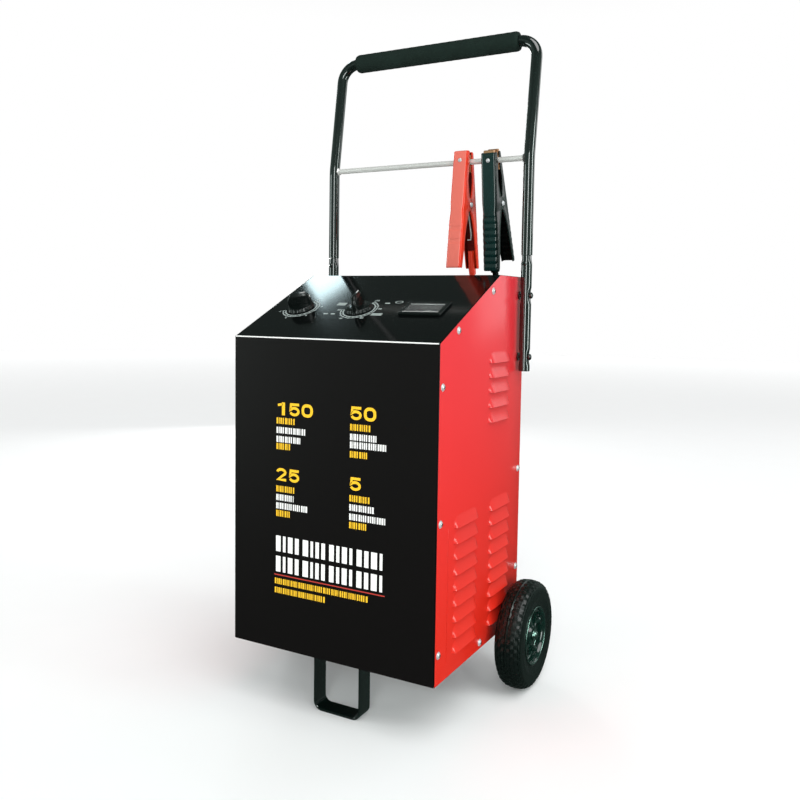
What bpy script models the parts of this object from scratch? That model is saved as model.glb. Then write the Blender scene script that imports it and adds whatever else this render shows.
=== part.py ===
"""Wheeled car battery charger: a sheet-metal case on two wheels and a foot loop, with a U handle,
a crossbar and two spring clamps on their leads. Metres, +Z up, the front faces -Y."""

from math import atan2, cos, hypot, pi, radians, sin

import bmesh
import bpy
from mathutils import Matrix, Vector

# Case
CASE_W = 0.308
CASE_D = 0.274
FLOOR_GAP = 0.082  # floor to the underside of the case
FRONT_H = 0.4175
CASE_H = 0.505
SLOPE_RUN = 0.183
SHEET = 0.0012
FLANGE = 0.014
FIT = 0.0003  # gap between pieces that touch
PAN_WALL = 0.020
ORIGIN_Y = 0.0296  # the middle of the case lies this far in front of the middle of the whole object

# Louvres on each side panel
LOUVRE_LEN = 0.072
LOUVRE_H = 0.016
LOUVRE_OUT = 0.004
LOUVRE_PITCH = 0.020
LOUVRE_COLUMNS = ((0.054, 0.4645, 5), (0.054, 0.2665, 9), (-0.054, 0.2665, 9))  # y, first lip z, count

# Wheels and axle
WHEEL_R = 0.076
WHEEL_W = 0.039
WHEEL_Y = 0.0985
WHEEL_GAP = 0.008
HUB_R = 0.041
AXLE_D = 0.0095
BORE_PLAY = 0.0004
SADDLE_X = 0.118
SADDLE_T = 0.002
SADDLE_W = 0.025

# Foot loop
FOOT_W = 0.073
FOOT_T = 0.003
FOOT_BAND = 0.0255
FOOT_Y = -0.1028
FOOT_R = 0.011
FOOT_TAB = 0.018

# Handle
TUBE_D = 0.016
TUBE_WALL = 0.0015
TUBE_Y = 0.1185
TUBE_END_Z = 0.452
TUBE_STANDOFF = 0.002
SEAM_Z = 0.618
SWAGE_LEN = 0.030
BAR_Z = 0.755
BAR_D = 0.008
LEAN = radians(8.2)
LEAN_LEN = 0.1735  # crossbar to the grip's axis, along the leaning tubes
CORNER_R = 0.027
GRIP_D = 0.028
GRIP_LEN = 0.273
BOLT_D = 0.005
BOLT_Z = (0.4725, 0.5605)
PIN_SCREW_Z = 0.606
PIN_SCREW_D = 0.004

# Controls on the slope, measured up it from the bend
KNOB_X = (-0.102, -0.007)
KNOB_S = 0.088
KNOB_D = 0.038
KNOB_SKIRT_H = 0.005
KNOB_BAR_W = 0.011
KNOB_H = 0.023
KNOB_TURN = (radians(25), radians(100))
SHAFT_D = 0.006
METER_X = 0.091
METER_S = 0.091
METER_W = 0.062
METER_H = 0.038
METER_FRAME = 0.004
METER_UP = 0.0035
METER_DEEP = 0.024
METER_WALL = 0.0015

# Clamps, in their own frame: the crossbar's axis is the origin and Z runs along the clamp
CLAMP_X = {"red": 0.0635, "black": 0.1075}
CLAMP_SWING = {"red": radians(1.5), "black": radians(15)}
CLAMP_FIXED = {"red": 1, "black": -1}  # the half that holds the lead: 1 rear, -1 front
CLAMP_W = 0.023
CLAMP_WALL = 0.0015
CLAMP_TOP = 0.012
CLAMP_FOOT = -0.155
CLAMP_TOP_Y = 0.014
CLAMP_SPREAD = radians(8.5)
PIVOT_Z = -0.062
PIVOT_D = 0.005
EAR_R = 0.009
JAW_TOP = 0.0155
JAW_FOOT = -0.014
SPRING_R = 0.0062
SPRING_WIRE = 0.002

# Leads
LEAD_D = 0.009
GLAND_X = {"red": -0.060, "black": 0.062}
AC_GLAND_X = -0.112
GLAND_Z = 0.112
GLAND_LEN = 0.024
COIL_R = 0.050
COIL_H = 0.0280
COIL_AT = {"red": (-0.110, 0.238), "black": (0.012, 0.238)}

HALF_W = CASE_W / 2
HALF_D = CASE_D / 2
BEND_Z = FLOOR_GAP + FRONT_H
TOP_Z = FLOOR_GAP + CASE_H
SLOPE_RISE = CASE_H - FRONT_H
SLOPE_ANGLE = atan2(SLOPE_RISE, SLOPE_RUN)
INNER_W = HALF_W - SHEET - FIT  # half width between the side panels
TUBE_X = HALF_W + TUBE_STANDOFF + TUBE_D / 2
WHEEL_X = HALF_W + WHEEL_GAP + WHEEL_W / 2


def start():
    for obj in list(bpy.data.objects):
        bpy.data.objects.remove(obj, do_unlink=True)
    parts = bpy.data.collections.new("battery_charger")
    cutters = bpy.data.collections.new("cutters")
    for collection in (parts, cutters):
        bpy.context.scene.collection.children.link(collection)
    cutters.hide_render = True
    frame = bpy.data.objects.new("charger_frame", None)
    frame.location = (0, -ORIGIN_Y, 0)
    parts.objects.link(frame)
    return parts, cutters, frame


PARTS, CUTTERS, FRAME = start()


def material(name, colour, roughness, metallic=0.0):
    found = bpy.data.materials.get(name)
    if found:
        return found
    made = bpy.data.materials.new(name)
    made.use_nodes = True
    shader = made.node_tree.nodes["Principled BSDF"]
    shader.inputs["Base Color"].default_value = (*colour, 1)
    shader.inputs["Roughness"].default_value = roughness
    shader.inputs["Metallic"].default_value = metallic
    return made


RED_PAINT = material("red_paint", (0.75, 0.03, 0.03), 0.35)
BLACK_PAINT = material("black_paint", (0.010, 0.010, 0.010), 0.4)
GLOSS_TUBE = material("gloss_black_tube", (0.005, 0.007, 0.007), 0.15)
FOAM = material("black_foam", (0.012, 0.013, 0.013), 0.9)
RUBBER = material("black_rubber", (0.012, 0.013, 0.013), 0.6)
PLASTIC = material("black_plastic", (0.006, 0.008, 0.008), 0.25)
ZINC = material("bright_zinc", (0.75, 0.75, 0.76), 0.25, 1.0)
COPPER = material("copper_plate", (0.80, 0.42, 0.25), 0.3, 1.0)
RED_VINYL = material("red_vinyl", (0.80, 0.06, 0.04), 0.4)
BLACK_VINYL = material("black_vinyl", (0.008, 0.012, 0.012), 0.35)
CLEAR = material("clear_lens", (0.8, 0.85, 0.85), 0.1)
DIAL = material("dial_card", (0.85, 0.85, 0.82), 0.5)
NEEDLE = material("needle_paint", (0.6, 0.05, 0.03), 0.5)
IRON = material("core_laminations", (0.12, 0.11, 0.10), 0.5, 0.8)
WINDING = material("enamelled_winding", (0.45, 0.18, 0.05), 0.4, 0.3)
ALUMINIUM = material("aluminium", (0.65, 0.66, 0.67), 0.35, 1.0)
BAKELITE = material("brown_bakelite", (0.05, 0.03, 0.02), 0.4)
VINYL = {"red": RED_VINYL, "black": BLACK_VINYL}


def new_object(name, data, made_of, parent=FRAME, at=(0, 0, 0), cutter=False):
    obj = bpy.data.objects.new(name, data)
    obj.location = at
    obj.parent = parent
    (CUTTERS if cutter else PARTS).objects.link(obj)
    if cutter:
        obj.hide_render = True
        obj.display_type = "WIRE"
    else:
        data.materials.append(made_of)
    return obj


def mesh_object(name, bm, made_of=None, smooth=None, **place):
    bmesh.ops.recalc_face_normals(bm, faces=bm.faces)
    mesh = bpy.data.meshes.new(name)
    bm.to_mesh(mesh)
    bm.free()
    if smooth:
        mesh.shade_smooth()
        mesh.set_sharp_from_angle(angle=smooth)
    return new_object(name, mesh, made_of, cutter=made_of is None, **place)


def empty(name, parent, at, turn=Matrix()):
    obj = bpy.data.objects.new(name, None)
    obj.parent = parent
    obj.matrix_local = Matrix.Translation(at) @ turn.to_4x4()
    PARTS.objects.link(obj)
    return obj


def add_box(bm, low, high):
    middle = (Vector(low) + Vector(high)) / 2
    size = Vector(high) - Vector(low)
    place = Matrix.Translation(middle) @ Matrix.Diagonal((*size, 1))
    return bmesh.ops.create_cube(bm, size=1, matrix=place)["verts"]


def add_cylinder(bm, radius, start_at, end_at, segments=24):
    axis = Vector(end_at) - Vector(start_at)
    turn = Vector((0, 0, 1)).rotation_difference(axis).to_matrix().to_4x4()
    place = Matrix.Translation((Vector(start_at) + Vector(end_at)) / 2) @ turn
    return bmesh.ops.create_cone(
        bm, cap_ends=True, segments=segments, radius1=radius, radius2=radius,
        depth=axis.length, matrix=place,
    )["verts"]


def box(name, low, high, made_of=None, **place):
    bm = bmesh.new()
    add_box(bm, low, high)
    return mesh_object(name, bm, made_of, **place)


def cylinder(name, radius, start_at, end_at, made_of=None, segments=24, **place):
    bm = bmesh.new()
    add_cylinder(bm, radius, start_at, end_at, segments)
    return mesh_object(name, bm, made_of, smooth=radians(40), **place)


def boolean(obj, other, operation="DIFFERENCE"):
    step = obj.modifiers.new(other.name, "BOOLEAN")
    step.operation = operation
    step.object = other
    return obj


def bevel(obj, width, segments=2, angle=radians(30)):
    step = obj.modifiers.new("round", "BEVEL")
    step.width = width
    step.segments = segments
    step.limit_method = "ANGLE"
    step.angle_limit = angle


def solidify(obj, thickness, offset=-1):
    step = obj.modifiers.new("sheet", "SOLIDIFY")
    step.thickness = thickness
    step.offset = offset
    step.use_even_offset = True


def turned(name, profile, made_of, axis="X", steps=32, smooth=radians(35), **place):
    """Spins a profile of (radius, along) points about an axis. It starts and ends on the axis or is closed."""
    bm = bmesh.new()
    verts = [bm.verts.new((radius, 0, along)) for radius, along in profile]
    for a, b in zip(verts, verts[1:]):
        bm.edges.new((a, b))
    if profile[0][0] > 0:
        bm.edges.new((verts[-1], verts[0]))
    turn = {"X": Matrix.Rotation(pi / 2, 4, "Y"), "Y": Matrix.Rotation(-pi / 2, 4, "X"), "Z": Matrix()}[axis]
    bmesh.ops.spin(
        bm, geom=bm.verts[:] + bm.edges[:], cent=(0, 0, 0), axis=(0, 0, 1),
        angle=2 * pi, steps=steps, use_merge=True, use_duplicate=False,
    )
    bmesh.ops.remove_doubles(bm, verts=bm.verts, dist=0.00001)
    bmesh.ops.transform(bm, matrix=turn, verts=bm.verts)
    return mesh_object(name, bm, made_of, smooth=smooth, **place)


def prism(name, outline, low, high, axis, made_of=None, **place):
    """A flat outline pulled between two positions on an axis: for X the outline is (y, z), for Y (x, z), for Z (x, y)."""
    put = {"X": lambda u, v: (low, u, v), "Y": lambda u, v: (u, low, v), "Z": lambda u, v: (u, v, low)}[axis]
    pull = {"X": (high - low, 0, 0), "Y": (0, high - low, 0), "Z": (0, 0, high - low)}[axis]
    bm = bmesh.new()
    face = bm.faces.new([bm.verts.new(put(u, v)) for u, v in outline])
    pulled = bmesh.ops.extrude_face_region(bm, geom=[face])["geom"]
    moved = [item for item in pulled if isinstance(item, bmesh.types.BMVert)]
    bmesh.ops.translate(bm, vec=pull, verts=moved)
    return mesh_object(name, bm, made_of, **place)


def arc(centre, radius, first, last, count=6):
    turns = [first + (last - first) * i / count for i in range(count + 1)]
    return [(centre[0] + radius * cos(t), centre[1] + radius * sin(t)) for t in turns]


def band(name, path, low, high, axis, thickness, made_of, **place):
    """A strip bent along a path of two coordinates and pulled along the third axis, with its wall centred on the path."""
    put = {"X": lambda u, v, w: (w, u, v), "Y": lambda u, v, w: (u, w, v)}[axis]
    bm = bmesh.new()
    rails = [[bm.verts.new(put(u, v, w)) for u, v in path] for w in (low, high)]
    for i in range(len(path) - 1):
        bm.faces.new((rails[0][i], rails[0][i + 1], rails[1][i + 1], rails[1][i]))
    obj = mesh_object(name, bm, made_of, smooth=radians(35), **place)
    solidify(obj, thickness, 0)
    return obj


def tube_curve(name, points, diameter, made_of, sides=2, parent=FRAME):
    curve = bpy.data.curves.new(name, "CURVE")
    curve.dimensions = "3D"
    spline = curve.splines.new("POLY")
    spline.points.add(len(points) - 1)
    for point, place in zip(spline.points, points):
        point.co = (*place, 1)
    curve.bevel_depth = diameter / 2
    curve.bevel_resolution = sides
    curve.use_fill_caps = True
    return new_object(name, curve, made_of, parent=parent)


def as_mesh(obj):
    """Replaces a curve object by a mesh object with welded caps, which a Boolean can cut."""
    bpy.context.view_layer.update()
    graph = bpy.context.evaluated_depsgraph_get()
    mesh = bpy.data.meshes.new_from_object(obj.evaluated_get(graph))
    bm = bmesh.new()
    bm.from_mesh(mesh)
    bmesh.ops.remove_doubles(bm, verts=bm.verts, dist=0.00001)
    bmesh.ops.recalc_face_normals(bm, faces=bm.faces)
    bm.to_mesh(mesh)
    bm.free()
    mesh.shade_smooth()
    mesh.set_sharp_from_angle(angle=radians(40))
    name, home, parent = obj.name, obj.users_collection[0], obj.parent
    made = bpy.data.objects.new(name + "_mesh", mesh)
    made.parent = parent
    made.matrix_world = obj.matrix_world
    made.hide_render = obj.hide_render
    made.display_type = obj.display_type
    home.objects.link(made)
    bpy.data.objects.remove(obj, do_unlink=True)
    made.name = name
    return made


def slope_point(s, up=0.0):
    """A point of the slope, s up from the bend and up along its normal, as (y, z)."""
    y = -HALF_D + s * cos(SLOPE_ANGLE) - up * sin(SLOPE_ANGLE)
    return y, BEND_Z + s * sin(SLOPE_ANGLE) + up * cos(SLOPE_ANGLE)


def slope_frame(name, x, s, turn=0.0):
    """An empty on the slope's outer face, Z along its normal and Y up the slope."""
    y, z = slope_point(s)
    spin = Matrix.Rotation(SLOPE_ANGLE, 3, "X") @ Matrix.Rotation(turn, 3, "Z")
    return empty(name, FRAME, (x, y, z), spin)


def inset_profile(profile, depth):
    """The polyline moved inwards by a depth, with mitred corners. Inwards is to the right of its direction."""
    moved = []
    normals = []
    for (y0, z0), (y1, z1) in zip(profile, profile[1:]):
        run = hypot(y1 - y0, z1 - z0)
        normals.append(((z1 - z0) / run, -(y1 - y0) / run))
    for i, (y, z) in enumerate(profile):
        before, after = normals[max(i - 1, 0)], normals[min(i, len(normals) - 1)]
        share = depth / (1 + before[0] * after[0] + before[1] * after[1])
        moved.append((y + share * (before[0] + after[0]), z + share * (before[1] + after[1])))
    return moved


def moved_ends(line, distance):
    """The polyline with its two ends moved inwards along it, or outwards by a negative distance."""
    moved = [Vector(point) for point in line]
    first, last = (moved[1] - moved[0]).normalized(), (moved[-2] - moved[-1]).normalized()
    moved[0] += first * distance
    moved[-1] += last * distance
    return [tuple(point) for point in moved]


def flanged_sheet(name, profile, half_width, made_of):
    """A bent sheet along a (y, z) profile with a flange folded inwards down both sides, mitred at its ends."""
    behind = moved_ends(inset_profile(profile, FLANGE), FLANGE)
    obj = prism(name, profile + behind[::-1], -half_width, half_width, "X", made_of)
    near = moved_ends(inset_profile(profile, SHEET), -FLANGE)
    far = moved_ends(inset_profile(profile, 2 * FLANGE), -FLANGE)
    inside = half_width - SHEET
    return boolean(obj, prism(name + "_hollow", near + far[::-1], -inside, inside, "X"))


def front_cover():
    profile = [
        (-HALF_D, FLOOR_GAP),
        (-HALF_D, BEND_Z),
        (-HALF_D + SLOPE_RUN, TOP_Z),
        (HALF_D - SHEET - FIT, TOP_Z),
    ]
    cover = flanged_sheet("front_cover", profile, INNER_W, BLACK_PAINT)
    for i, x in enumerate(KNOB_X):
        at = slope_frame(f"shaft_hole_{i}_frame", x, KNOB_S)
        boolean(cover, cylinder(f"shaft_hole_{i}", SHAFT_D / 2 + 0.001, (0, 0, -0.01), (0, 0, 0.01), parent=at))
    at = slope_frame("meter_hole_frame", METER_X, METER_S)
    half_w = METER_W / 2 - METER_FRAME + FIT
    half_h = METER_H / 2 - METER_FRAME + FIT
    boolean(cover, box("meter_hole", (-half_w, -half_h, -0.01), (half_w, half_h, 0.01), parent=at))


def louvre_shape(bm, y, lip, inner):
    """One pressed louvre, open downwards: its outer skin, or the hollow behind it."""
    wall = SHEET if inner else 0
    half = LOUVRE_LEN / 2 - wall
    top = lip + LOUVRE_H - 2.2 * wall
    foot = lip - (0.0006 if inner else 0)
    back = HALF_W - SHEET * (2.5 if inner else 0.5)
    out = HALF_W + LOUVRE_OUT - wall
    taper = 0.004
    corners = [(back, y + side * half, z) for side in (-1, 1) for z in (foot, top)]
    corners += [(HALF_W, y + side * half, z) for side in (-1, 1) for z in (foot, top)]
    corners += [(out, y + side * (half - taper), foot) for side in (-1, 1)]
    verts = [bm.verts.new(corner) for corner in corners]
    bmesh.ops.convex_hull(bm, input=verts)


def louvre_bank(name, inner, mirrored):
    bm = bmesh.new()
    for y, lip, count in LOUVRE_COLUMNS:
        for i in range(count):
            louvre_shape(bm, y, lip - i * LOUVRE_PITCH, inner)
    if mirrored:
        bmesh.ops.scale(bm, vec=(-1, 1, 1), verts=bm.verts)
    return mesh_object(name, bm)


def side_panel(name, side):
    outline = [
        (-HALF_D, FLOOR_GAP),
        (HALF_D, FLOOR_GAP),
        (HALF_D, TOP_Z),
        (-HALF_D + SLOPE_RUN, TOP_Z),
        (-HALF_D, BEND_Z),
    ]
    panel = prism(name, outline, side * (HALF_W - SHEET), side * HALF_W, "X", RED_PAINT)
    boolean(panel, louvre_bank(name + "_louvres", False, side < 0), "UNION")
    boolean(panel, louvre_bank(name + "_louvre_slots", True, side < 0))
    for i, z in enumerate(BOLT_Z):
        reach = (side * (HALF_W - 0.01), side * (HALF_W + 0.01))
        hole = cylinder(f"{name}_bolt_hole_{i}", BOLT_D / 2 + FIT, (reach[0], TUBE_Y, z), (reach[1], TUBE_Y, z))
        boolean(panel, hole)


def rear_panel():
    profile = [(HALF_D, TOP_Z), (HALF_D, FLOOR_GAP)]
    panel = flanged_sheet("rear_panel", profile, INNER_W, BLACK_PAINT)
    slots = bmesh.new()
    for x in (-0.06, 0.06):
        for i in range(8):
            z = 0.40 + i * 0.014
            add_box(slots, (x - 0.03, HALF_D - 0.01, z), (x + 0.03, HALF_D + 0.01, z + 0.005))
    boolean(panel, mesh_object("rear_vents", slots))
    for i, x in enumerate((GLAND_X["red"], GLAND_X["black"], AC_GLAND_X)):
        neck = GLAND_NECK_R + FIT
        hole = cylinder(f"gland_hole_{i}", neck, (x, HALF_D - 0.01, GLAND_Z), (x, HALF_D + 0.01, GLAND_Z))
        boolean(panel, hole)


GLAND_NECK_R = 0.0072


def base_pan():
    """A tray with four walls that stands inside the flanges of the panels round it."""
    half_x = INNER_W - SHEET - FIT
    half_y = HALF_D - SHEET - FIT
    bm = bmesh.new()
    add_box(bm, (-half_x, -half_y, FLOOR_GAP), (half_x, half_y, FLOOR_GAP + PAN_WALL))
    top = [face for face in bm.faces if face.normal.z > 0.9]
    bmesh.ops.delete(bm, geom=top, context="FACES_ONLY")
    solidify(mesh_object("base_pan", bm, BLACK_PAINT), SHEET)


def foot_loop():
    half = (FOOT_W - FOOT_T) / 2
    low = FOOT_T / 2
    high = FLOOR_GAP - FIT - FOOT_T / 2
    r = FOOT_R
    path = [(-half - FOOT_TAB, high)]
    path += arc((-half - 0.004, high - 0.004), 0.004, pi / 2, 0, 3)
    path += arc((-half + r, low + r), r, pi, 1.5 * pi)
    path += arc((half - r, low + r), r, 1.5 * pi, 2 * pi)
    path += arc((half + 0.004, high - 0.004), 0.004, pi, pi / 2, 3)
    path += [(half + FOOT_TAB, high)]
    band("foot_loop", path, FOOT_Y - FOOT_BAND / 2, FOOT_Y + FOOT_BAND / 2, "Y", FOOT_T, GLOSS_TUBE)


def wheels():
    half = WHEEL_W / 2
    bead = HUB_R + 0.0003
    tread = [(0.0, 1.0), (0.5, 0.995), (0.78, 0.972), (0.93, 0.93), (1.0, 0.86), (0.97, 0.70), (0.86, 0.56)]
    upper = [(WHEEL_R * r, half * w) for w, r in tread] + [(bead, half * 0.80)]
    tyre = [(r, -w) for r, w in reversed(upper)] + upper[1:]
    rim = HUB_R
    web = 0.004
    bore = AXLE_D / 2 + BORE_PLAY
    hub_half = [(rim, half * 0.80), (rim - 0.004, half * 0.86), (rim - 0.006, half * 0.80), (rim - 0.008, web)]
    hub_half += [(0.013, web), (0.011, half * 0.75), (bore, half * 0.75)]
    hub = hub_half + [(r, -w) for r, w in reversed(hub_half)]
    for name, side in (("left", -1), ("right", 1)):
        at = empty(f"{name}_wheel_axis", FRAME, (side * WHEEL_X, WHEEL_Y, WHEEL_R))
        turned(f"{name}_tyre", tyre, RUBBER, steps=40, parent=at)
        disc = turned(f"{name}_hub", hub, PLASTIC, steps=40, parent=at)
        holes = bmesh.new()
        for i in range(5):
            turn = 2 * pi * i / 5 + pi / 10
            y, z = 0.023 * cos(turn), 0.023 * sin(turn)
            add_cylinder(holes, 0.0065, (-0.01, y, z), (0.01, y, z), 12)
        boolean(disc, mesh_object(f"{name}_hub_holes", holes, parent=at))
        outer = half * 0.75 + FIT
        cap = [(0, outer + 0.0062), (0.005, outer + 0.0058), (0.008, outer + 0.003), (0.0085, outer)]
        cap += [(AXLE_D / 2 + FIT, outer), (AXLE_D / 2 + FIT, outer + 0.004), (0, outer + 0.004)]
        nut = turned(f"{name}_axle_cap", cap, ZINC, steps=24, parent=FRAME, at=(side * WHEEL_X, WHEEL_Y, WHEEL_R))
        if side < 0:
            nut.rotation_euler = (0, 0, pi)


def axle():
    reach = WHEEL_X + WHEEL_W / 2 * 0.75 + FIT + 0.0037
    cylinder("axle", AXLE_D / 2, (-reach, WHEEL_Y, WHEEL_R), (reach, WHEEL_Y, WHEEL_R), ZINC, 20)
    r = AXLE_D / 2 + FIT + SADDLE_T / 2
    high = FLOOR_GAP - FIT - SADDLE_T / 2
    path = [(WHEEL_Y - 0.022, high), (WHEEL_Y - r, high)]
    path += arc((WHEEL_Y, WHEEL_R), r, pi, 2 * pi, 10)
    path += [(WHEEL_Y + r, high), (WHEEL_Y + 0.022, high)]
    for name, x in (("left", -SADDLE_X), ("right", SADDLE_X)):
        band(f"{name}_axle_saddle", path, x - SADDLE_W / 2, x + SADDLE_W / 2, "X", SADDLE_T, ZINC)


def handle_path():
    """The axis of the upper handle from the left swage to the right one, leaning back above the crossbar."""
    def lean(x, along):
        return (x, TUBE_Y + along * sin(LEAN), BAR_Z + along * cos(LEAN))

    r = CORNER_R
    kink = [(0.018 * (i / 3 - 1)) for i in range(4)]
    rise = [(-TUBE_X, TUBE_Y, BAR_Z + step) for step in kink[:3]]
    up = [(-TUBE_X, TUBE_Y, SEAM_Z)] + rise + [lean(-TUBE_X, 0.018 * (i / 3)) for i in range(1, 4)]
    corner = arc((-TUBE_X + r, LEAN_LEN - r), r, pi, pi / 2, 8)
    left = up + [lean(x, along) for x, along in corner]
    return left + [(-x, y, z) for x, y, z in reversed(left)]


def handle():
    swage = TUBE_D - 2 * TUBE_WALL - 2 * FIT
    bore = swage / 2 - 0.0012
    path = handle_path()
    upper = as_mesh(tube_curve("handle_upper", path, TUBE_D, GLOSS_TUBE, 4))
    hollow = tube_curve("handle_bore", path, 2 * bore, GLOSS_TUBE, 3)
    hollow.hide_render = True
    for side in (-1, 1):
        x = side * TUBE_X
        low, high = SEAM_Z - SWAGE_LEN, SEAM_Z + 0.002
        neck = cylinder(f"swage_{side}", swage / 2, (x, TUBE_Y, low), (x, TUBE_Y, high), segments=20)
        boolean(upper, neck, "UNION")
    hollow = as_mesh(hollow)
    hollow.display_type = "WIRE"
    PARTS.objects.unlink(hollow)
    CUTTERS.objects.link(hollow)
    boolean(upper, hollow)
    for side in (-1, 1):
        x = side * TUBE_X
        low, high = SEAM_Z - SWAGE_LEN - 0.001, SEAM_Z + 0.002
        bored = cylinder(f"swage_bore_{side}", bore, (x, TUBE_Y, low), (x, TUBE_Y, high), segments=16)
        boolean(upper, bored)
    for name, side in (("left", -1), ("right", 1)):
        x = side * TUBE_X
        tube = cylinder(f"{name}_handle_tube", TUBE_D / 2, (x, TUBE_Y, TUBE_END_Z), (x, TUBE_Y, SEAM_Z - FIT), GLOSS_TUBE)
        inside = TUBE_D / 2 - TUBE_WALL
        boolean(tube, cylinder(f"{name}_tube_bore", inside, (x, TUBE_Y, TUBE_END_Z - 0.01), (x, TUBE_Y, SEAM_Z + 0.01)))
        for i, z in enumerate(BOLT_Z):
            hole = cylinder(f"{name}_tube_bolt_hole_{i}", BOLT_D / 2 + FIT, (x - 0.02, TUBE_Y, z), (x + 0.02, TUBE_Y, z))
            boolean(tube, hole)
            handle_bolt(f"{name}_handle_bolt_{i + 1}", side, z)
        low, high = (x, TUBE_Y - 0.02, PIN_SCREW_Z), (x, TUBE_Y + 0.02, PIN_SCREW_Z)
        for piece, r in ((tube, PIN_SCREW_D / 2 + FIT), (upper, PIN_SCREW_D / 2 + FIT)):
            boolean(piece, cylinder(f"{name}_{piece.name}_pin_hole", r, low, high, segments=12))
        head = 0.0035
        front = -TUBE_D / 2 - FIT
        screw = [(0, front - 0.0022), (head * 0.7, front - 0.0018), (head, front - 0.0004), (head, front)]
        screw += [(PIN_SCREW_D / 2, front), (PIN_SCREW_D / 2, TUBE_D / 2 + 0.002), (0, TUBE_D / 2 + 0.002)]
        turned(f"{name}_handle_screw", screw, ZINC, axis="Y", steps=16, at=(x, TUBE_Y, PIN_SCREW_Z))
    reach = TUBE_X - TUBE_D / 2 - FIT
    cylinder("crossbar", BAR_D / 2, (-reach, TUBE_Y, BAR_Z), (reach, TUBE_Y, BAR_Z), ZINC)
    y, z = TUBE_Y + LEAN_LEN * sin(LEAN), BAR_Z + LEAN_LEN * cos(LEAN)
    half = GRIP_LEN / 2
    inside = TUBE_D / 2 + FIT
    sleeve = [(inside, -half), (GRIP_D / 2 - 0.003, -half), (GRIP_D / 2, -half + 0.003)]
    sleeve += [(r, -along) for r, along in reversed(sleeve)]
    turned("grip", sleeve, FOAM, steps=28, at=(0, y, z))


def handle_bolt(name, side, z):
    """A bolt through the tube, its stand-off and the side panel, with its nut inside the case."""
    r = BOLT_D / 2
    out = TUBE_X + TUBE_D / 2 + FIT
    inner = HALF_W - SHEET - FIT
    stand = (HALF_W + FIT, TUBE_X - TUBE_D / 2 - FIT)
    profile = [(0, out + 0.0025), (0.0035, out + 0.0022), (0.0045, out + 0.0008), (0.0045, out), (r, out)]
    profile += [(r, stand[1]), (0.005, stand[1]), (0.005, stand[0]), (r, stand[0])]
    profile += [(r, inner), (0.0045, inner), (0.0045, inner - 0.004), (r, inner - 0.004)]
    profile += [(r, inner - 0.006), (0, inner - 0.006)]
    bolt = turned(name, profile, ZINC, steps=16, at=(0, TUBE_Y, z))
    if side < 0:
        bolt.rotation_euler = (0, 0, pi)


def knob(name, x, turn):
    at = slope_frame(f"{name}_axis", x, KNOB_S, turn)
    r = KNOB_D / 2
    foot = FIT + 0.0005
    profile = [(0, KNOB_SKIRT_H + foot), (r * 0.86, KNOB_SKIRT_H + foot), (r, foot + 0.001), (r, foot)]
    profile += [(SHAFT_D / 2, foot), (SHAFT_D / 2, -SWITCH_TOP + FIT), (0, -SWITCH_TOP + FIT)]
    body = turned(name, profile, PLASTIC, axis="Z", steps=36, parent=at)
    bar = bmesh.new()
    verts = add_box(bar, (-r * 0.93, -KNOB_BAR_W / 2, foot + 0.002), (r * 0.93, KNOB_BAR_W / 2, KNOB_H))
    for vert in verts:
        if vert.co.z > KNOB_H / 2:
            vert.co.x *= 0.82
            vert.co.y *= 0.72
    grip = mesh_object(name + "_bar", bar, parent=at)
    bevel(grip, 0.0022, 3)
    boolean(body, grip, "UNION")


SWITCH_TOP = 0.010  # depth of the switch and timer bodies below the slope's face


def switches():
    at = slope_frame("selector_switch_frame", KNOB_X[0], KNOB_S)
    switch = box("selector_switch", (-0.02, -0.02, -SWITCH_TOP - 0.028), (0.02, 0.02, -SWITCH_TOP), BAKELITE, parent=at)
    bevel(switch, 0.002)
    at = slope_frame("charge_timer_frame", KNOB_X[1], KNOB_S)
    depth = (-SWITCH_TOP - 0.030, -SWITCH_TOP)
    cylinder("charge_timer", 0.024, (0, 0, depth[0]), (0, 0, depth[1]), ALUMINIUM, parent=at)


def ammeter():
    at = slope_frame("ammeter_frame", METER_X, METER_S)
    out_w, out_h = METER_W / 2, METER_H / 2
    in_w, in_h = out_w - METER_FRAME, out_h - METER_FRAME
    housing = box("ammeter_housing", (-out_w, -out_h, FIT), (out_w, out_h, METER_UP), PLASTIC, parent=at)
    bevel(housing, 0.001)
    boolean(housing, box("meter_case", (-in_w, -in_h, -METER_DEEP), (in_w, in_h, 0.001), parent=at), "UNION")
    cut_w, cut_h = in_w - METER_WALL, in_h - METER_WALL
    floor = -METER_DEEP + METER_WALL
    boolean(housing, box("meter_hollow", (-cut_w, -cut_h, floor), (cut_w, cut_h, 0.02), parent=at))
    w, h = cut_w - FIT, cut_h - FIT
    box("ammeter_dial", (-w, -h, -0.0085), (w, h, -0.0075), DIAL, parent=at)
    box("ammeter_lens", (-w, -h, 0.0012), (w, h, 0.0030), CLEAR, parent=at)
    pivot = empty("ammeter_needle_axis", at, (0, -h + 0.0045, 0), Matrix.Rotation(NEEDLE_REST, 3, "Z"))
    needle = cylinder("ammeter_needle", 0.0025, (0, 0, -0.0072), (0, 0, -0.0035), NEEDLE, 16, parent=pivot)
    blade = box("needle_blade", (-0.0004, 0, -0.0062), (0.0004, NEEDLE_LEN, -0.0054), parent=pivot)
    boolean(needle, blade, "UNION")


NEEDLE_REST = radians(45)
NEEDLE_LEN = 0.0185


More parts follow.
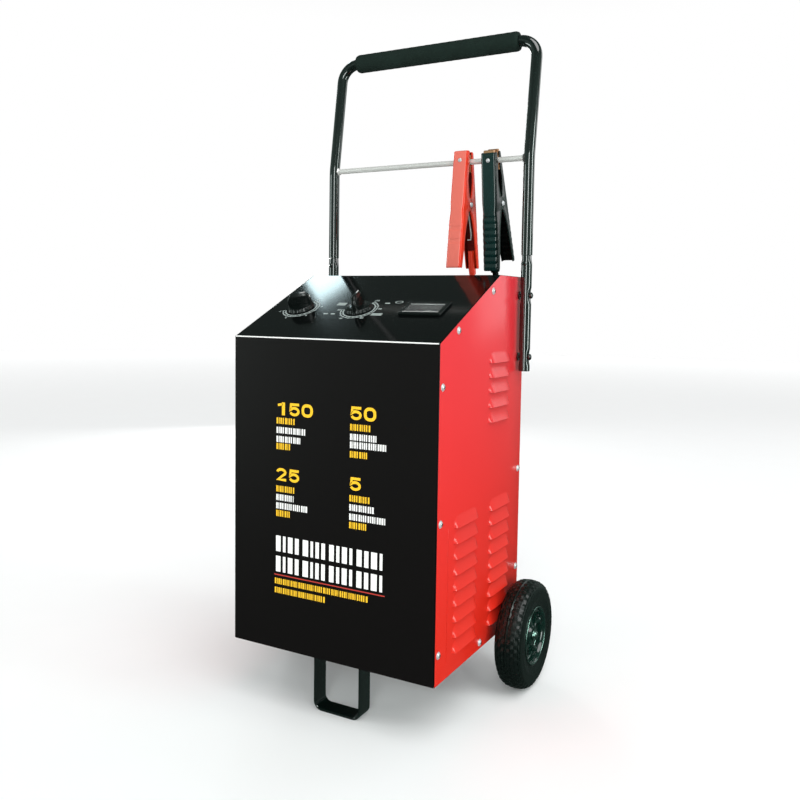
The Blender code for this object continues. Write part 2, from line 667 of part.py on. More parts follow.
def internals():
    floor = FLOOR_GAP + SHEET + FIT
    core = box("transformer_core", (-0.075, -0.035, floor), (0.075, 0.045, floor + 0.120), IRON)
    window = bmesh.new()
    for x in (-0.037, 0.037):
        add_box(window, (x - 0.017, -0.05, floor + 0.022), (x + 0.017, 0.06, floor + 0.098))
    boolean(core, mesh_object("core_windows", window))
    coil = box("transformer_winding", (-0.0515, -0.055, floor + 0.025), (0.0515, 0.065, floor + 0.095), WINDING)
    bevel(coil, 0.006)
    around = bmesh.new()
    add_box(around, (-0.0203, -0.0353, floor), (0.0203, 0.0453, floor + 0.13))
    boolean(coil, mesh_object("winding_tunnel", around))
    plate = [(-0.105, 0), (-0.105, 0.10), (-0.103, 0.10), (-0.103, 0.002), (-0.080, 0.002), (-0.080, 0)]
    plate = [(x, z + floor) for x, z in plate]
    prism("rectifier_plate", plate, -0.045, 0.055, "Y", ALUMINIUM)
    box("rectifier_block", (-0.1027, -0.018, floor + 0.035), (-0.086, 0.028, floor + 0.075), BAKELITE)


def gland(name, x, bore):
    """A strain relief through the rear panel, tapering along the lead."""
    r = GLAND_NECK_R
    out = FIT
    profile = [(bore, GLAND_LEN), (bore + 0.0018, GLAND_LEN), (0.0095, out + 0.004), (0.0105, out + 0.0035)]
    profile += [(0.0105, out), (r, out), (r, -SHEET - 0.008), (bore, -SHEET - 0.008)]
    turned(name, profile, PLASTIC, axis="Y", steps=24, at=(x, HALF_D, GLAND_Z))


def half_outline(top, foot):
    """One clamp half seen from the side, as (y, z) with its outer face at -Y."""
    def face(z):
        return -CLAMP_TOP_Y - (CLAMP_TOP - z) * sin(CLAMP_SPREAD) / cos(CLAMP_SPREAD)

    ear = arc((0, PIVOT_Z), EAR_R, radians(115), radians(-115), 9)
    inner = [(-0.0062, top), (-0.0062, -0.015), (-0.0042, -0.030), (-0.0045, PIVOT_Z + 0.0095)]
    lower = [(-0.0060, PIVOT_Z - 0.012), (-0.0105, -0.092), (-0.0180, -0.112), (face(foot) + 0.010, foot + 0.004)]
    return [(face(top), top)] + inner + ear + lower + [(face(foot) + 0.009, foot), (face(foot), foot)]


def clamp_frame(colour):
    swing = Matrix.Rotation(CLAMP_SWING[colour], 3, "X")
    return empty(f"{colour}_clamp_frame", FRAME, (CLAMP_X[colour], TUBE_Y, BAR_Z), swing)


def clamp_half(name, side, width, at, made_of):
    """A channel with its back outwards. side is -1 for the front half and 1 for the rear one."""
    outline = [(y * -side, z) for y, z in half_outline(CLAMP_TOP, CLAMP_FOOT)]
    half = prism(name, outline, -width / 2, width / 2, "X", made_of, parent=at)
    pocket = bmesh.new()
    inside = width / 2 - CLAMP_WALL
    add_box(pocket, (-inside, CLAMP_WALL, -0.25), (inside, 0.06, 0.05))
    turn = Matrix.Translation((0, -CLAMP_TOP_Y, CLAMP_TOP)) @ Matrix.Rotation(-CLAMP_SPREAD, 4, "X")
    bmesh.ops.transform(pocket, matrix=turn, verts=pocket.verts)
    if side > 0:
        bmesh.ops.scale(pocket, vec=(1, -1, 1), verts=pocket.verts)
    boolean(half, mesh_object(name + "_pocket", pocket, parent=at))
    hole = cylinder(name + "_pin_hole", PIVOT_D / 2 + FIT, (-0.03, 0, PIVOT_Z), (0.03, 0, PIVOT_Z), segments=16, parent=at)
    boolean(half, hole)


def clamp_jaw(name, side, width, at):
    """A copper jaw that lines the end of a half and grips the crossbar."""
    grip = BAR_D / 2 + FIT
    lean = sin(CLAMP_SPREAD) / cos(CLAMP_SPREAD)
    back = CLAMP_TOP_Y - CLAMP_WALL / cos(CLAMP_SPREAD) - FIT
    outline = [(-back + (JAW_TOP - CLAMP_TOP) * lean, JAW_TOP), (-grip, JAW_TOP), (-grip, JAW_FOOT)]
    outline += [(-back - (CLAMP_TOP - JAW_FOOT) * lean, JAW_FOOT)]
    outline = [(y * -side, z) for y, z in outline]
    prism(name, outline, -width / 2, width / 2, "X", COPPER, parent=at)


def clamp_spring(colour, at, side):
    """A torsion spring round the pivot pin, its leg lying along the half that stays still."""
    turns, count = 3.25, 12
    points = []
    for i in range(int(turns * count) + 1):
        turn = 2 * pi * i / count
        x = -0.004 + 0.0075 * i / (turns * count)
        points.append((x, side * SPRING_R * cos(turn), PIVOT_Z + SPRING_R * sin(turn)))
    along = [(0.0037, 0.0085, -0.070), (0.0037, 0.0125, -0.085), (0.0037, 0.0190, -0.105)]
    along += [(0.002, 0.0212, -0.1120), (-0.003, 0.0212, -0.1120)]
    points += [(x, side * y, z) for x, y, z in along]
    tube_curve(f"{colour}_clamp_spring", points, SPRING_WIRE, ZINC, 1, parent=at)


def clamp(colour):
    at = clamp_frame(colour)
    fixed = CLAMP_FIXED[colour]
    inner_w = CLAMP_W - 2 * (CLAMP_WALL + FIT)
    for word, side in (("front", -1), ("rear", 1)):
        width = CLAMP_W if side < 0 else inner_w
        clamp_half(f"{colour}_clamp_{word}_half", side, width, at, VINYL[colour])
        clamp_jaw(f"{colour}_clamp_{word}_jaw", side, inner_w - 2 * (CLAMP_WALL + FIT), at)
    reach = CLAMP_W / 2
    pin = [(0, -reach - 0.002), (0.003, -reach - 0.0017), (0.0038, -reach - FIT), (PIVOT_D / 2, -reach - FIT)]
    pin += [(r, -along) for r, along in reversed(pin)]
    turned(f"{colour}_clamp_pin", pin, ZINC, steps=16, parent=at, at=(0, 0, PIVOT_Z))
    clamp_spring(colour, at, fixed)


def smooth_route(points, step):
    """Points every step along a Catmull-Rom curve through the route's own points."""
    places = [Vector(point) for point in points]
    ends = [2 * places[0] - places[1]] + places + [2 * places[-1] - places[-2]]
    fine = [places[0]]
    for a, b, c, d in zip(ends, ends[1:], ends[2:], ends[3:]):
        for i in range(1, 25):
            t = i / 24
            fine.append(0.5 * ((2 * b) + (c - a) * t + (2 * a - 5 * b + 4 * c - d) * t**2 + (3 * b - a - 3 * c + d) * t**3))
    route = [fine[0]]
    travelled = 0.0
    for before, after in zip(fine, fine[1:]):
        travelled += (after - before).length
        if travelled >= step:
            route.append(after)
            travelled = 0.0
    if (fine[-1] - route[-1]).length < step / 2:
        route.pop()
    return route + [fine[-1]]


# Each lead runs from its gland down on to its coil, and from the coil along the floor and up to its clamp.
LEAD_DOWN = {
    "red": [
        (-0.0600, 0.1615, 0.1120), (-0.0600, 0.1780, 0.1100), (-0.0600, 0.1960, 0.0960),
        (-0.0600, 0.2080, 0.0700), (-0.0600, 0.2160, 0.0440), (-0.0600, 0.2225, 0.0330),
    ],
    "black": [
        (0.0620, 0.1615, 0.1120), (0.0620, 0.1780, 0.1100), (0.0620, 0.1960, 0.0960),
        (0.0620, 0.2080, 0.0700), (0.0620, 0.2160, 0.0440), (0.0620, 0.2225, 0.0330),
    ],
}
LEAD_UP = {
    "red": [
        (-0.0700, 0.1800, 0.0048), (-0.0450, 0.1730, 0.0048), (-0.0200, 0.1660, 0.0048), (0.0060, 0.1625, 0.0060),
        (0.0250, 0.1630, 0.0170), (0.0360, 0.1650, 0.0460), (0.0410, 0.1670, 0.1000), (0.0460, 0.1680, 0.2000),
        (0.0530, 0.1650, 0.3500), (0.0600, 0.1610, 0.5000), (0.0633, 0.1580, 0.5700), (0.0635, 0.1545, 0.6020),
        (0.0635, 0.1500, 0.6280),
    ],
    "black": [
        (0.0500, 0.1830, 0.0052), (0.0660, 0.1800, 0.0120), (0.0770, 0.1770, 0.0360), (0.0850, 0.1740, 0.0900),
        (0.0930, 0.1690, 0.2200), (0.1010, 0.1600, 0.3900), (0.1060, 0.1510, 0.5300), (0.1070, 0.1480, 0.5700),
        (0.1075, 0.1415, 0.5930), (0.1075, 0.1330, 0.6080), (0.1075, 0.1270, 0.6210), (0.1075, 0.1252, 0.6290),
    ],
}


def lead(colour):
    step = 2.5 * LEAD_D
    made_of = VINYL[colour]
    tube_curve(f"{colour}_lead_to_coil", smooth_route(LEAD_DOWN[colour], step), LEAD_D, made_of)
    tube_curve(f"{colour}_lead_to_clamp", smooth_route(LEAD_UP[colour], step), LEAD_D, made_of)
    inner, outer = COIL_R - LEAD_D / 2, COIL_R + LEAD_D / 2
    ring = [(inner, FIT), (inner, COIL_H), (outer, COIL_H), (outer, FIT)]
    turned(f"{colour}_lead_coil", ring, made_of, axis="Z", steps=32, at=(*COIL_AT[colour], 0))


def build():
    front_cover()
    side_panel("left_side_panel", -1)
    side_panel("right_side_panel", 1)
    rear_panel()
    base_pan()
    foot_loop()
    wheels()
    axle()
    handle()
    knob("selector_knob", KNOB_X[0], KNOB_TURN[0])
    knob("timer_knob", KNOB_X[1], KNOB_TURN[1])
    switches()
    ammeter()
    internals()
    for name, x, bore in (
        ("red_lead_gland", GLAND_X["red"], LEAD_D / 2 + FIT),
        ("black_lead_gland", GLAND_X["black"], LEAD_D / 2 + FIT),
        ("mains_gland", AC_GLAND_X, 0.004),
    ):
        gland(name, x, bore)
    for colour in ("red", "black"):
        clamp(colour)
        lead(colour)


build()
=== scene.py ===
from math import atan2, copysign, cos, pi, radians, sin, sqrt, tan

import bmesh
import bpy
from mathutils import Matrix, Vector


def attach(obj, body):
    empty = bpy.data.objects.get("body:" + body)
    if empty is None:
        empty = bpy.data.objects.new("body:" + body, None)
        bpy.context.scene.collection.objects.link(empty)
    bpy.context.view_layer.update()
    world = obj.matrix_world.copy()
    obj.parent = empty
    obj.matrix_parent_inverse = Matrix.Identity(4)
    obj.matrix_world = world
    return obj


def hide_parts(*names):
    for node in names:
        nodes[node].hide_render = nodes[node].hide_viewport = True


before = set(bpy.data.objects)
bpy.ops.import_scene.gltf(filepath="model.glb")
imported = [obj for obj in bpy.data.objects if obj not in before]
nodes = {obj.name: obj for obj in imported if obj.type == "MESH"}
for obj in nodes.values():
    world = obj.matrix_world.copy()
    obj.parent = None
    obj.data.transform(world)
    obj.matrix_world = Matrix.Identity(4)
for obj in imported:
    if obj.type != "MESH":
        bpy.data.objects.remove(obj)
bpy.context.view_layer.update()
print("frame loaded:", len(nodes), "nodes")

yBack = -0.0296  # the case's own middle, in the shared frame


def place(x, y, z):
    return Vector((x, y + yBack, z))


view = {"spot": place(0.58587, -1.02363, 0.54382), "azimuth": 28.706, "pitch": 3.897, "roll": 0.837, "lens": 37.75,
        "shift": -0.0469}


def makeCamera():
    az, down, roll = (radians(view[key]) for key in ("azimuth", "pitch", "roll"))
    ahead = Vector((-sin(az) * cos(down), cos(az) * cos(down), -sin(down)))
    level = Vector((cos(az), sin(az), 0))
    upright = level.cross(ahead)
    right = level * cos(roll) + upright * sin(roll)
    up = upright * cos(roll) - level * sin(roll)
    data = bpy.data.cameras.new("camera")
    data.lens, data.sensor_width, data.shift_y = view["lens"], 36, view["shift"]
    data.clip_start, data.clip_end = 0.05, 30
    camera = bpy.data.objects.new("camera", data)
    camera.matrix_world = Matrix((right, up, -ahead)).transposed().to_4x4()
    camera.location = view["spot"]
    bpy.context.scene.collection.objects.link(camera)
    bpy.context.scene.camera = camera


makeCamera()
print("camera set")


# sRGB hex to linear
def linear(code):
    parts = [int(code[i:i + 2], 16) / 255 for i in (0, 2, 4)]
    return [part / 12.92 if part <= 0.04045 else ((part + 0.055) / 1.055) ** 2.4 for part in parts]


def addNode(tree, kind, inputs=None, **settings):
    node = tree.nodes.new("ShaderNode" + kind)
    for name, value in settings.items():
        setattr(node, name, value)
    for name, value in (inputs or {}).items():
        if isinstance(value, bpy.types.NodeSocket):
            tree.links.new(value, node.inputs[name])
        else:
            node.inputs[name].default_value = value
    return node


# a finish with mottled tone, uneven gloss and a fine bump. grain and bump are in mm
def surface(name, code, rough, metal=0.0, tone=0.08, grain=2.0, bump=0.02, spread=0.06, second=None, shine=0.5, **fixed):
    mat = bpy.data.materials.new(name)
    mat.use_nodes = True
    tree = mat.node_tree
    shader = tree.nodes["Principled BSDF"]
    where = addNode(tree, "TexCoord").outputs["Object"]
    fine = addNode(tree, "TexNoise", {"Vector": where, "Scale": 1000 / grain, "Detail": 4}).outputs["Fac"]
    broad = addNode(tree, "TexNoise", {"Vector": where, "Scale": 1000 / (grain * 22), "Detail": 3}).outputs["Fac"]
    colour = linear(code)
    other = linear(second) if second else [part * (1 - tone) for part in colour]
    lift = [min(1, part * (1 + tone)) for part in colour]
    mix = addNode(tree, "Mix", {0: broad}, data_type="RGBA")
    mix.inputs[6].default_value = (*other, 1)
    mix.inputs[7].default_value = (*lift, 1)
    tree.links.new(mix.outputs[2], shader.inputs["Base Color"])
    gloss = addNode(tree, "MapRange", {"Value": broad, "To Min": max(0.02, rough - spread), "To Max": rough + spread})
    tree.links.new(gloss.outputs[0], shader.inputs["Roughness"])
    dents = addNode(tree, "Bump", {"Height": fine, "Strength": 0.6, "Distance": bump / 1000})
    tree.links.new(dents.outputs[0], shader.inputs["Normal"])
    shader.inputs["Metallic"].default_value = metal
    shader.inputs["Specular IOR Level"].default_value = shine
    for key, value in fixed.items():
        shader.inputs[key.replace("_", " ")].default_value = value
    return mat


# gloss paint with orange peel and a slow change of tone up the panel; without a bend that change is a painted sheen,
# pinker towards the top, and with a bend the tone steps at the bend
def paintedPanel(name, low, high, rough, bendZ=None, **more):
    mat = surface(name, low, rough, tone=0.03, grain=3.0, bump=0.012, spread=0.03, **more)
    tree = mat.node_tree
    shader = tree.nodes["Principled BSDF"]
    height = addNode(tree, "SeparateXYZ", {0: tree.nodes["Texture Coordinate"].outputs["Object"]}).outputs["Z"]
    if bendZ:
        above = addNode(tree, "MapRange", {"Value": height, "From Min": bendZ, "From Max": bendZ + 0.001}).outputs[0]
        sheen = addNode(tree, "MapRange", {"Value": above, "To Min": rough, "To Max": 0.09}).outputs[0]
        tree.links.new(sheen, shader.inputs["Roughness"])
        tint = addNode(tree, "Mix", {0: above}, data_type="RGBA")
    else:
        # painted sheen: the colour turns pinker up the panel
        rise = addNode(tree, "MapRange", {"Value": height, "From Min": 0.15, "From Max": 0.58}).outputs[0]
        tint = addNode(tree, "Mix", {0: rise}, data_type="RGBA")
    tint.inputs[6].default_value = (*linear(low), 1)
    tint.inputs[7].default_value = (*linear(high), 1)
    tree.links.new(tint.outputs[2], shader.inputs["Base Color"])
    return mat


bendZ = 0.4998
# stove-baked gloss red, clear reflections with a little orange peel; its pinker top colour is a painted sheen
redPaint = paintedPanel("glossRedPaint", "CC2619", "C72E37", 0.22, shine=0.4)
# satin black front; the slope above the bend is polished
blackPaint = paintedPanel("blackPaintedSteel", "0B0808", "070909", 0.42, bendZ=bendZ, shine=0.24)
# gloss black enamel on round tube, long bright streaks
glossTube = surface("glossBlackTube", "06110E", 0.14, grain=8, bump=0.001, spread=0.02, shine=0.7, Coat_Weight=1.0)
# plainer satin black at the back and below
rearPaint = surface("satinBlackPaint", "090A0A", 0.45, grain=3, bump=0.012, spread=0.03, shine=0.4)
foam = surface("blackFoam", "16241F", 0.8, tone=0.3, grain=0.9, bump=0.25, shine=0.15)  # closed-cell foam, dull with fine pores
tyreRubberAndPocketShade = surface("tyreRubberAndPocketShade", "08110E", 0.28, tone=0.15, grain=1.2, bump=0.03, shine=0.5)  # black rubber with a soft sheen
# gloss polypropylene, deep green-black
hubPlastic = surface("glossHubPlastic", "08201A", 0.13, grain=4, bump=0.01, shine=0.6, Coat_Weight=0.5)
blackPlasticAndSlotShade = surface("mouldedBlackPlasticAndSlotShade", "080D0C", 0.22, grain=0.8, bump=0.02, shine=0.5)  # moulded ABS, half gloss
# bright zinc plate, blurred grey highlights
zinc = surface("brightZincPlate", "D2D4D6", 0.3, metal=0.5, grain=1.0, bump=0.015, spread=0.08)
chrome = surface("chromePlate", "F4F4F0", 0.22, metal=0.5, grain=5, bump=0.004, spread=0.03)  # chrome plate, pale and soft; the near-white colour is partly its own and partly a painted reflection of bright surroundings
# copper plate with darker tarnish
copper = surface("copperPlate", "E6BC90", 0.35, metal=0.8, grain=0.8, bump=0.03, second="B87A50")
redVinyl = surface("redVinylCoat", "D8331A", 0.24, grain=2.5, bump=0.03, shine=0.35)  # dipped vinyl coat, wet-looking red
redVinylSheen = surface("redVinylSheen", "D86A5C", 0.22, grain=2.5, bump=0.03, Coat_Weight=0.5)  # where light skims the same coat
blackVinyl = surface("blackVinylCoat", "071412", 0.2, grain=2.5, bump=0.03, shine=0.5)  # the black coat, faintly green
# painted sheen: a lighter copy of the black coat for the front half's broad faces
blackVinylSheen = surface("blackVinylSheen", "0C2725", 0.16, grain=2.5, bump=0.03, Coat_Weight=0.5)
redInside = surface("shadedRedVinyl", "5E120A", 0.5, grain=2.5, bump=0.03, shine=0.1)  # inside the pressed channels, in shade
blackInside = surface("shadedBlackVinyl", "040605", 0.5, grain=2.5, bump=0.03, shine=0.1)
redCable = surface("redCableSheath", "DD2E1C", 0.35, grain=1.5, bump=0.03, shine=0.3)  # PVC sheaths, half gloss
blackCable = surface("blackCableSheath", "080B0B", 0.38, grain=1.5, bump=0.03, shine=0.2)
dialCard = surface("blackDialCard", "060A09", 0.4, grain=1, bump=0.005, shine=0.1)  # matt black card
# the white ink also serves as painted highlights on the bend, the knob bars and the meter bezel
printWhiteAndHighlight = surface("whiteInkAndPaintedHighlight", "F2F2F0", 0.5, tone=0.03, grain=1, bump=0.004, shine=0.2)  # screen-printed inks, flat and even
printYellow = surface("yellowInk", "F2BE26", 0.5, tone=0.06, grain=1, bump=0.004, shine=0.2)
printRed = surface("redInk", "B93A30", 0.5, tone=0.04, grain=1, bump=0.004, shine=0.2)
printGrey = surface("greyInk", "B6C2BF", 0.45, tone=0.04, grain=1, bump=0.004, shine=0.2)
capMetalAndRimHighlight = surface("axleCapMetalAndRimHighlight", "86A79C", 0.22, metal=1.0, grain=3, bump=0.01)  # bright teal-grey metal: the axle caps' own finish, and on the thin rings round the hub's rim lips a painted highlight
louvreGapShade = surface("shadowedGap", "3A0807", 0.8, grain=1, bump=0.004)  # painted shade for the openings under the louvres
alloy = surface("castAlloy", "A7A8AA", 0.35, metal=1.0, grain=1, bump=0.05)  # cast aluminium, grey and grainy
# varnished steel sheets, brown-grey
laminations = surface("varnishedLaminations", "4A443C", 0.5, metal=0.5, grain=0.6, bump=0.2)
winding = surface("enamelledCopperWire", "A35A22", 0.35, metal=0.6, grain=1.2, bump=0.3)  # enamelled copper, warm and ribbed
bakelite = surface("brownBakelite", "2A1A12", 0.4, grain=1.5, bump=0.03)  # brown phenolic moulding
# clear acrylic window
clearLens = surface("clearAcrylic", "F4FAF8", 0.05, grain=5, bump=0.002, spread=0.02, Transmission_Weight=0.95, IOR=1.12)
insides = {"red": redInside, "black": blackInside}
# lighter copies of the coats for the front faces, a painted sheen
faces = {"red": redVinylSheen, "black": blackVinylSheen}
vinyls = {"red": redVinyl, "black": blackVinyl}
cables = {"red": redCable, "black": blackCable}
print("materials made")


# turns a finished bmesh into an object and puts it in the scene
def meshObject(name, bm, materials, smooth=None):
    mesh = bpy.data.meshes.new(name)
    bm.to_mesh(mesh)
    bm.free()
    if smooth:
        mesh.shade_smooth()
        mesh.set_sharp_from_angle(angle=radians(smooth))
    for mat in materials:
        mesh.materials.append(mat)
    obj = bpy.data.objects.new(name, mesh)
    bpy.context.scene.collection.objects.link(obj)
    return obj


# says which body an object moves with, and hides the CAD nodes that it stands for
def tag(obj, body, gone=()):
    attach(obj, body)
    if gone:
        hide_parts(*gone)
    return obj


def bevelEdges(obj, width, segments, angle):
    edges = obj.modifiers.new("edges", "BEVEL")
    edges.width, edges.segments, edges.limit_method, edges.angle_limit = width, segments, "ANGLE", radians(angle)


def piece(name, bm, mat, body="case", gone=(), smooth=35, bevel=0.0):
    bmesh.ops.recalc_face_normals(bm, faces=bm.faces)
    obj = meshObject(name, bm, mat if isinstance(mat, list) else [mat], smooth)
    if bevel:
        bevelEdges(obj, bevel, 3, 40)
    return tag(obj, body, gone)


# Spins a profile of (radius, along) about Z. The profile is a loop, or runs from the axis back to it.
# shape(i, j, radius, along) may then move the point that profile point i has at step j.
def turn(bm, profile, matrix=Matrix(), steps=64, shape=None):
    known = set(bm.verts)
    verts = [bm.verts.new((radius, 0, along)) for radius, along in profile]
    edges = [bm.edges.new(pair) for pair in zip(verts, verts[1:])]
    if profile[0][0] > 0:
        edges.append(bm.edges.new((verts[-1], verts[0])))
    bmesh.ops.spin(bm, geom=verts + edges, cent=(0, 0, 0), axis=(0, 0, 1), angle=2 * pi, steps=steps, use_merge=True)
    made = [vert for vert in bm.verts if vert not in known]
    if shape:
        for vert in made:
            x, y, along = vert.co
            radius, angle = sqrt(x * x + y * y), atan2(y, x)
            i = min(range(len(profile)), key=lambda k: abs(profile[k][0] - radius) + abs(profile[k][1] - along))
            radius, along = shape(i, round(angle * steps / (2 * pi)) % steps, *profile[i])
            vert.co = (radius * cos(angle), radius * sin(angle), along)
    bmesh.ops.transform(bm, matrix=matrix, verts=made)
    bmesh.ops.remove_doubles(bm, verts=made, dist=0.000005)


# lays down the first section of points and extrudes its edges from each section to the next
def loft(bm, sections, closed=True, ends=False, mat=0):
    def edgesOf(ring):
        pairs = zip(ring, ring[1:] + ring[:1] if closed else ring[1:])
        return [bm.edges.get(pair) or bm.edges.new(pair) for pair in pairs]

    rings = [[bm.verts.new(spot) for spot in sections[0]]]
    for section in sections[1:]:
        last = rings[-1]
        grown = bmesh.ops.extrude_edge_only(bm, edges=edgesOf(last))["geom"]
        fresh = {item for item in grown if isinstance(item, bmesh.types.BMVert)}
        ring = [next(edge.other_vert(vert) for edge in vert.link_edges if edge.other_vert(vert) in fresh) for vert in last]
        for vert, spot in zip(ring, section):
            vert.co = spot
            for face in vert.link_faces:
                face.material_index = mat
        rings.append(ring)
    if ends:
        for ring in (rings[0], rings[-1]):
            bm.faces.new(ring).material_index = mat
    return rings


def block(bm, low, high, matrix=Matrix(), bevel=0.0, mat=0):
    size = Vector(high) - Vector(low)
    spot = Matrix.Translation((Vector(low) + Vector(high)) / 2) @ Matrix.Diagonal((*size, 1))
    made = bmesh.ops.create_cube(bm, size=1, matrix=matrix @ spot)["verts"]
    faces = {face for vert in made for face in vert.link_faces}
    for face in faces:
        face.material_index = mat
    if bevel:
        edges = list({edge for vert in made for edge in vert.link_edges})
        bmesh.ops.bevel(bm, geom=edges, offset=bevel, segments=2, profile=0.5, affect="EDGES", material=-1)


# a flat face through points, extruded by a vector
def extruded(bm, points, by):
    face = bm.faces.new([bm.verts.new(point) for point in points])
    grown = bmesh.ops.extrude_face_region(bm, geom=[face])["geom"]
    bmesh.ops.translate(bm, vec=by, verts=[item for item in grown if isinstance(item, bmesh.types.BMVert)])


# a matrix whose Z looks along direction
def facing(spot, direction, up=(0, 0, 1)):
    z = Vector(direction).normalized()
    x = Vector(up).cross(z)
    x = x.normalized() if x.length > 1e-4 else Vector((1, 0, 0))
    return Matrix.Translation(spot) @ Matrix((x, z.cross(x), z)).transposed().to_4x4()


# a round bar or tube along points, as one curve
def tube(name, points, diameter, mat, body="case", gone=(), sides=10):
    curve = bpy.data.curves.new(name, "CURVE")
    curve.dimensions = "3D"
    spline = curve.splines.new("POLY")
    spline.points.add(len(points) - 1)
    for point, spot in zip(spline.points, points):
        point.co = (*spot, 1)
    spline.use_smooth = True
    curve.bevel_depth, curve.bevel_resolution, curve.use_fill_caps = diameter / 2, sides, True
    curve.materials.append(mat)
    obj = bpy.data.objects.new(name, curve)
    bpy.context.scene.collection.objects.link(obj)
    return tag(obj, body, gone)


# evenly spaced points on a smooth curve through points
def flowing(points, step):
    spots = [Vector(point) for point in points]
    ends = [2 * spots[0] - spots[1]] + spots + [2 * spots[-1] - spots[-2]]
    fine = [spots[0]]
    for a, b, c, d in zip(ends, ends[1:], ends[2:], ends[3:]):
        for i in range(1, 17):
            t = i / 16
            fine.append(0.5 * (2 * b + (c - a) * t + (2 * a - 5 * b + 4 * c - d) * t**2 + (3 * b - a - 3 * c + d) * t**3))
    out, gone = [fine[0]], 0.0
    for before, after in zip(fine, fine[1:]):
        gone += (after - before).length
        if gone >= step:
            out.append(after)
            gone = 0.0
    return out + ([fine[-1]] if gone > step / 3 else [])


# a power that keeps the sign, for squared-off ovals
def signed(value, power):
    return copysign(abs(value) ** power, value)


def arc(centre, radius, first, last, count=8):
    return [(centre[0] + radius * cos(radians(first + (last - first) * i / count)),
             centre[1] + radius * sin(radians(first + (last - first) * i / count))) for i in range(count + 1)]


leads = {
    "diameter": 0.009, "turns": 2.75, "coilRadius": 0.05, "coilTop": 0.033, "coilPitch": 0.01025,
    "red": {
        "coil": (-0.11, 0.238),
        "down": [(-0.06, 0.1615, 0.112), (-0.06, 0.178, 0.11), (-0.06, 0.196, 0.096), (-0.06, 0.208, 0.07),
                 (-0.06, 0.216, 0.044)],
        "up": [(-0.07, 0.18, 0.0048), (-0.045, 0.173, 0.0048), (-0.02, 0.166, 0.0048), (0.006, 0.1625, 0.006),
               (0.025, 0.163, 0.017), (0.036, 0.165, 0.046), (0.041, 0.167, 0.1), (0.046, 0.168, 0.2),
               (0.053, 0.165, 0.35), (0.06, 0.161, 0.5), (0.0633, 0.158, 0.57), (0.0635, 0.1545, 0.602),
               (0.0635, 0.15, 0.628)],
    },
    "black": {
        "coil": (0.012, 0.238),
        "down": [(0.062, 0.1615, 0.112), (0.062, 0.178, 0.11), (0.062, 0.196, 0.096), (0.062, 0.208, 0.07),
                 (0.062, 0.216, 0.044)],
        "up": [(0.05, 0.183, 0.0052), (0.066, 0.18, 0.012), (0.077, 0.177, 0.036), (0.085, 0.174, 0.09),
               (0.093, 0.169, 0.22), (0.101, 0.16, 0.39), (0.106, 0.151, 0.53), (0.107, 0.148, 0.57),
               (0.1075, 0.1415, 0.593), (0.1075, 0.133, 0.608), (0.1075, 0.127, 0.621), (0.1075, 0.1252, 0.629)],
    },
}


def leadPoints(colour):
    spec = leads[colour]
    cx, cy = spec["coil"]
    radius, perTurn = leads["coilRadius"], 16
    coil = []
    for i in range(int(leads["turns"] * perTurn) + 1):
        a = 2 * pi * i / perTurn
        coil.append((cx + radius * cos(a), cy + radius * sin(a), leads["coilTop"] - leads["coilPitch"] * i / perTurn))
    route = [place(*spot) for spot in spec["down"] + coil + spec["up"]]
    return flowing(route, 0.016)


def makeLeads():
    for colour in ("red", "black"):
        points = leadPoints(colour)
        cable = tube(f"{colour}Lead", points, leads["diameter"], cables[colour],
                     gone=[f"{colour}_lead_to_coil", f"{colour}_lead_to_clamp", f"{colour}_lead_coil"], sides=4)


makeLeads()


case = {"halfWidth": 0.154, "halfDepth": 0.137, "floorZ": 0.082, "topZ": 0.587, "bendZ": 0.4995, "slopeEndY": 0.046,
        "sheet": 0.0012, "louvreOut": 0.0055, "louvreLength": 0.072, "louvreHeight": 0.0165, "louvrePitch": 0.02}
slopeAngle = atan2(case["topZ"] - case["bendZ"], case["slopeEndY"] + case["halfDepth"])


# a matrix on the slope: X to the right, Y up the slope, Z out of it
def slopeSpot(x, along, lift=0.0):
    y = -case["halfDepth"] + along * cos(slopeAngle) - lift * sin(slopeAngle)
    z = case["bendZ"] + along * sin(slopeAngle) + lift * cos(slopeAngle)
    return Matrix.Translation(place(x, y, z)) @ Matrix.Rotation(slopeAngle, 4, "X")


# a matrix on the front face: X to the right, Y up, Z out of it
def frontSpot(x, z, lift=0.0):
    return Matrix.Translation(place(x, -case["halfDepth"] - lift, z)) @ Matrix.Rotation(pi / 2, 4, "X")


# a scoop pressed out of the sheet: closed and rounded at the top and both ends, open along its lower lip
def louvre(bm, y, lip):
    length, height, out = case["louvreLength"], case["louvreHeight"], case["louvreOut"]
    columns, rows = 26, 7
    panel = case["halfWidth"] - 0.0003
    sections = []
    for i in range(columns + 1):
        u = -1 + 2 * i / columns
        end = max(0.0, 1 - abs(u) ** 7) ** 0.6  # the scoop's reach, fading at both ends
        top = height * (0.35 + 0.65 * end)
        along = y + yBack + u * length / 2
        line = [(panel + out * end * (j / rows) ** 1.3, along, lip + top * (1 - j / rows)) for j in range(rows + 1)]
        sections.append(line + [(panel, along, lip)])
    for ring in loft(bm, sections, closed=False):
        for face in ring[-1].link_faces:  # painted shade in the opening under the lip
            face.material_index = 1


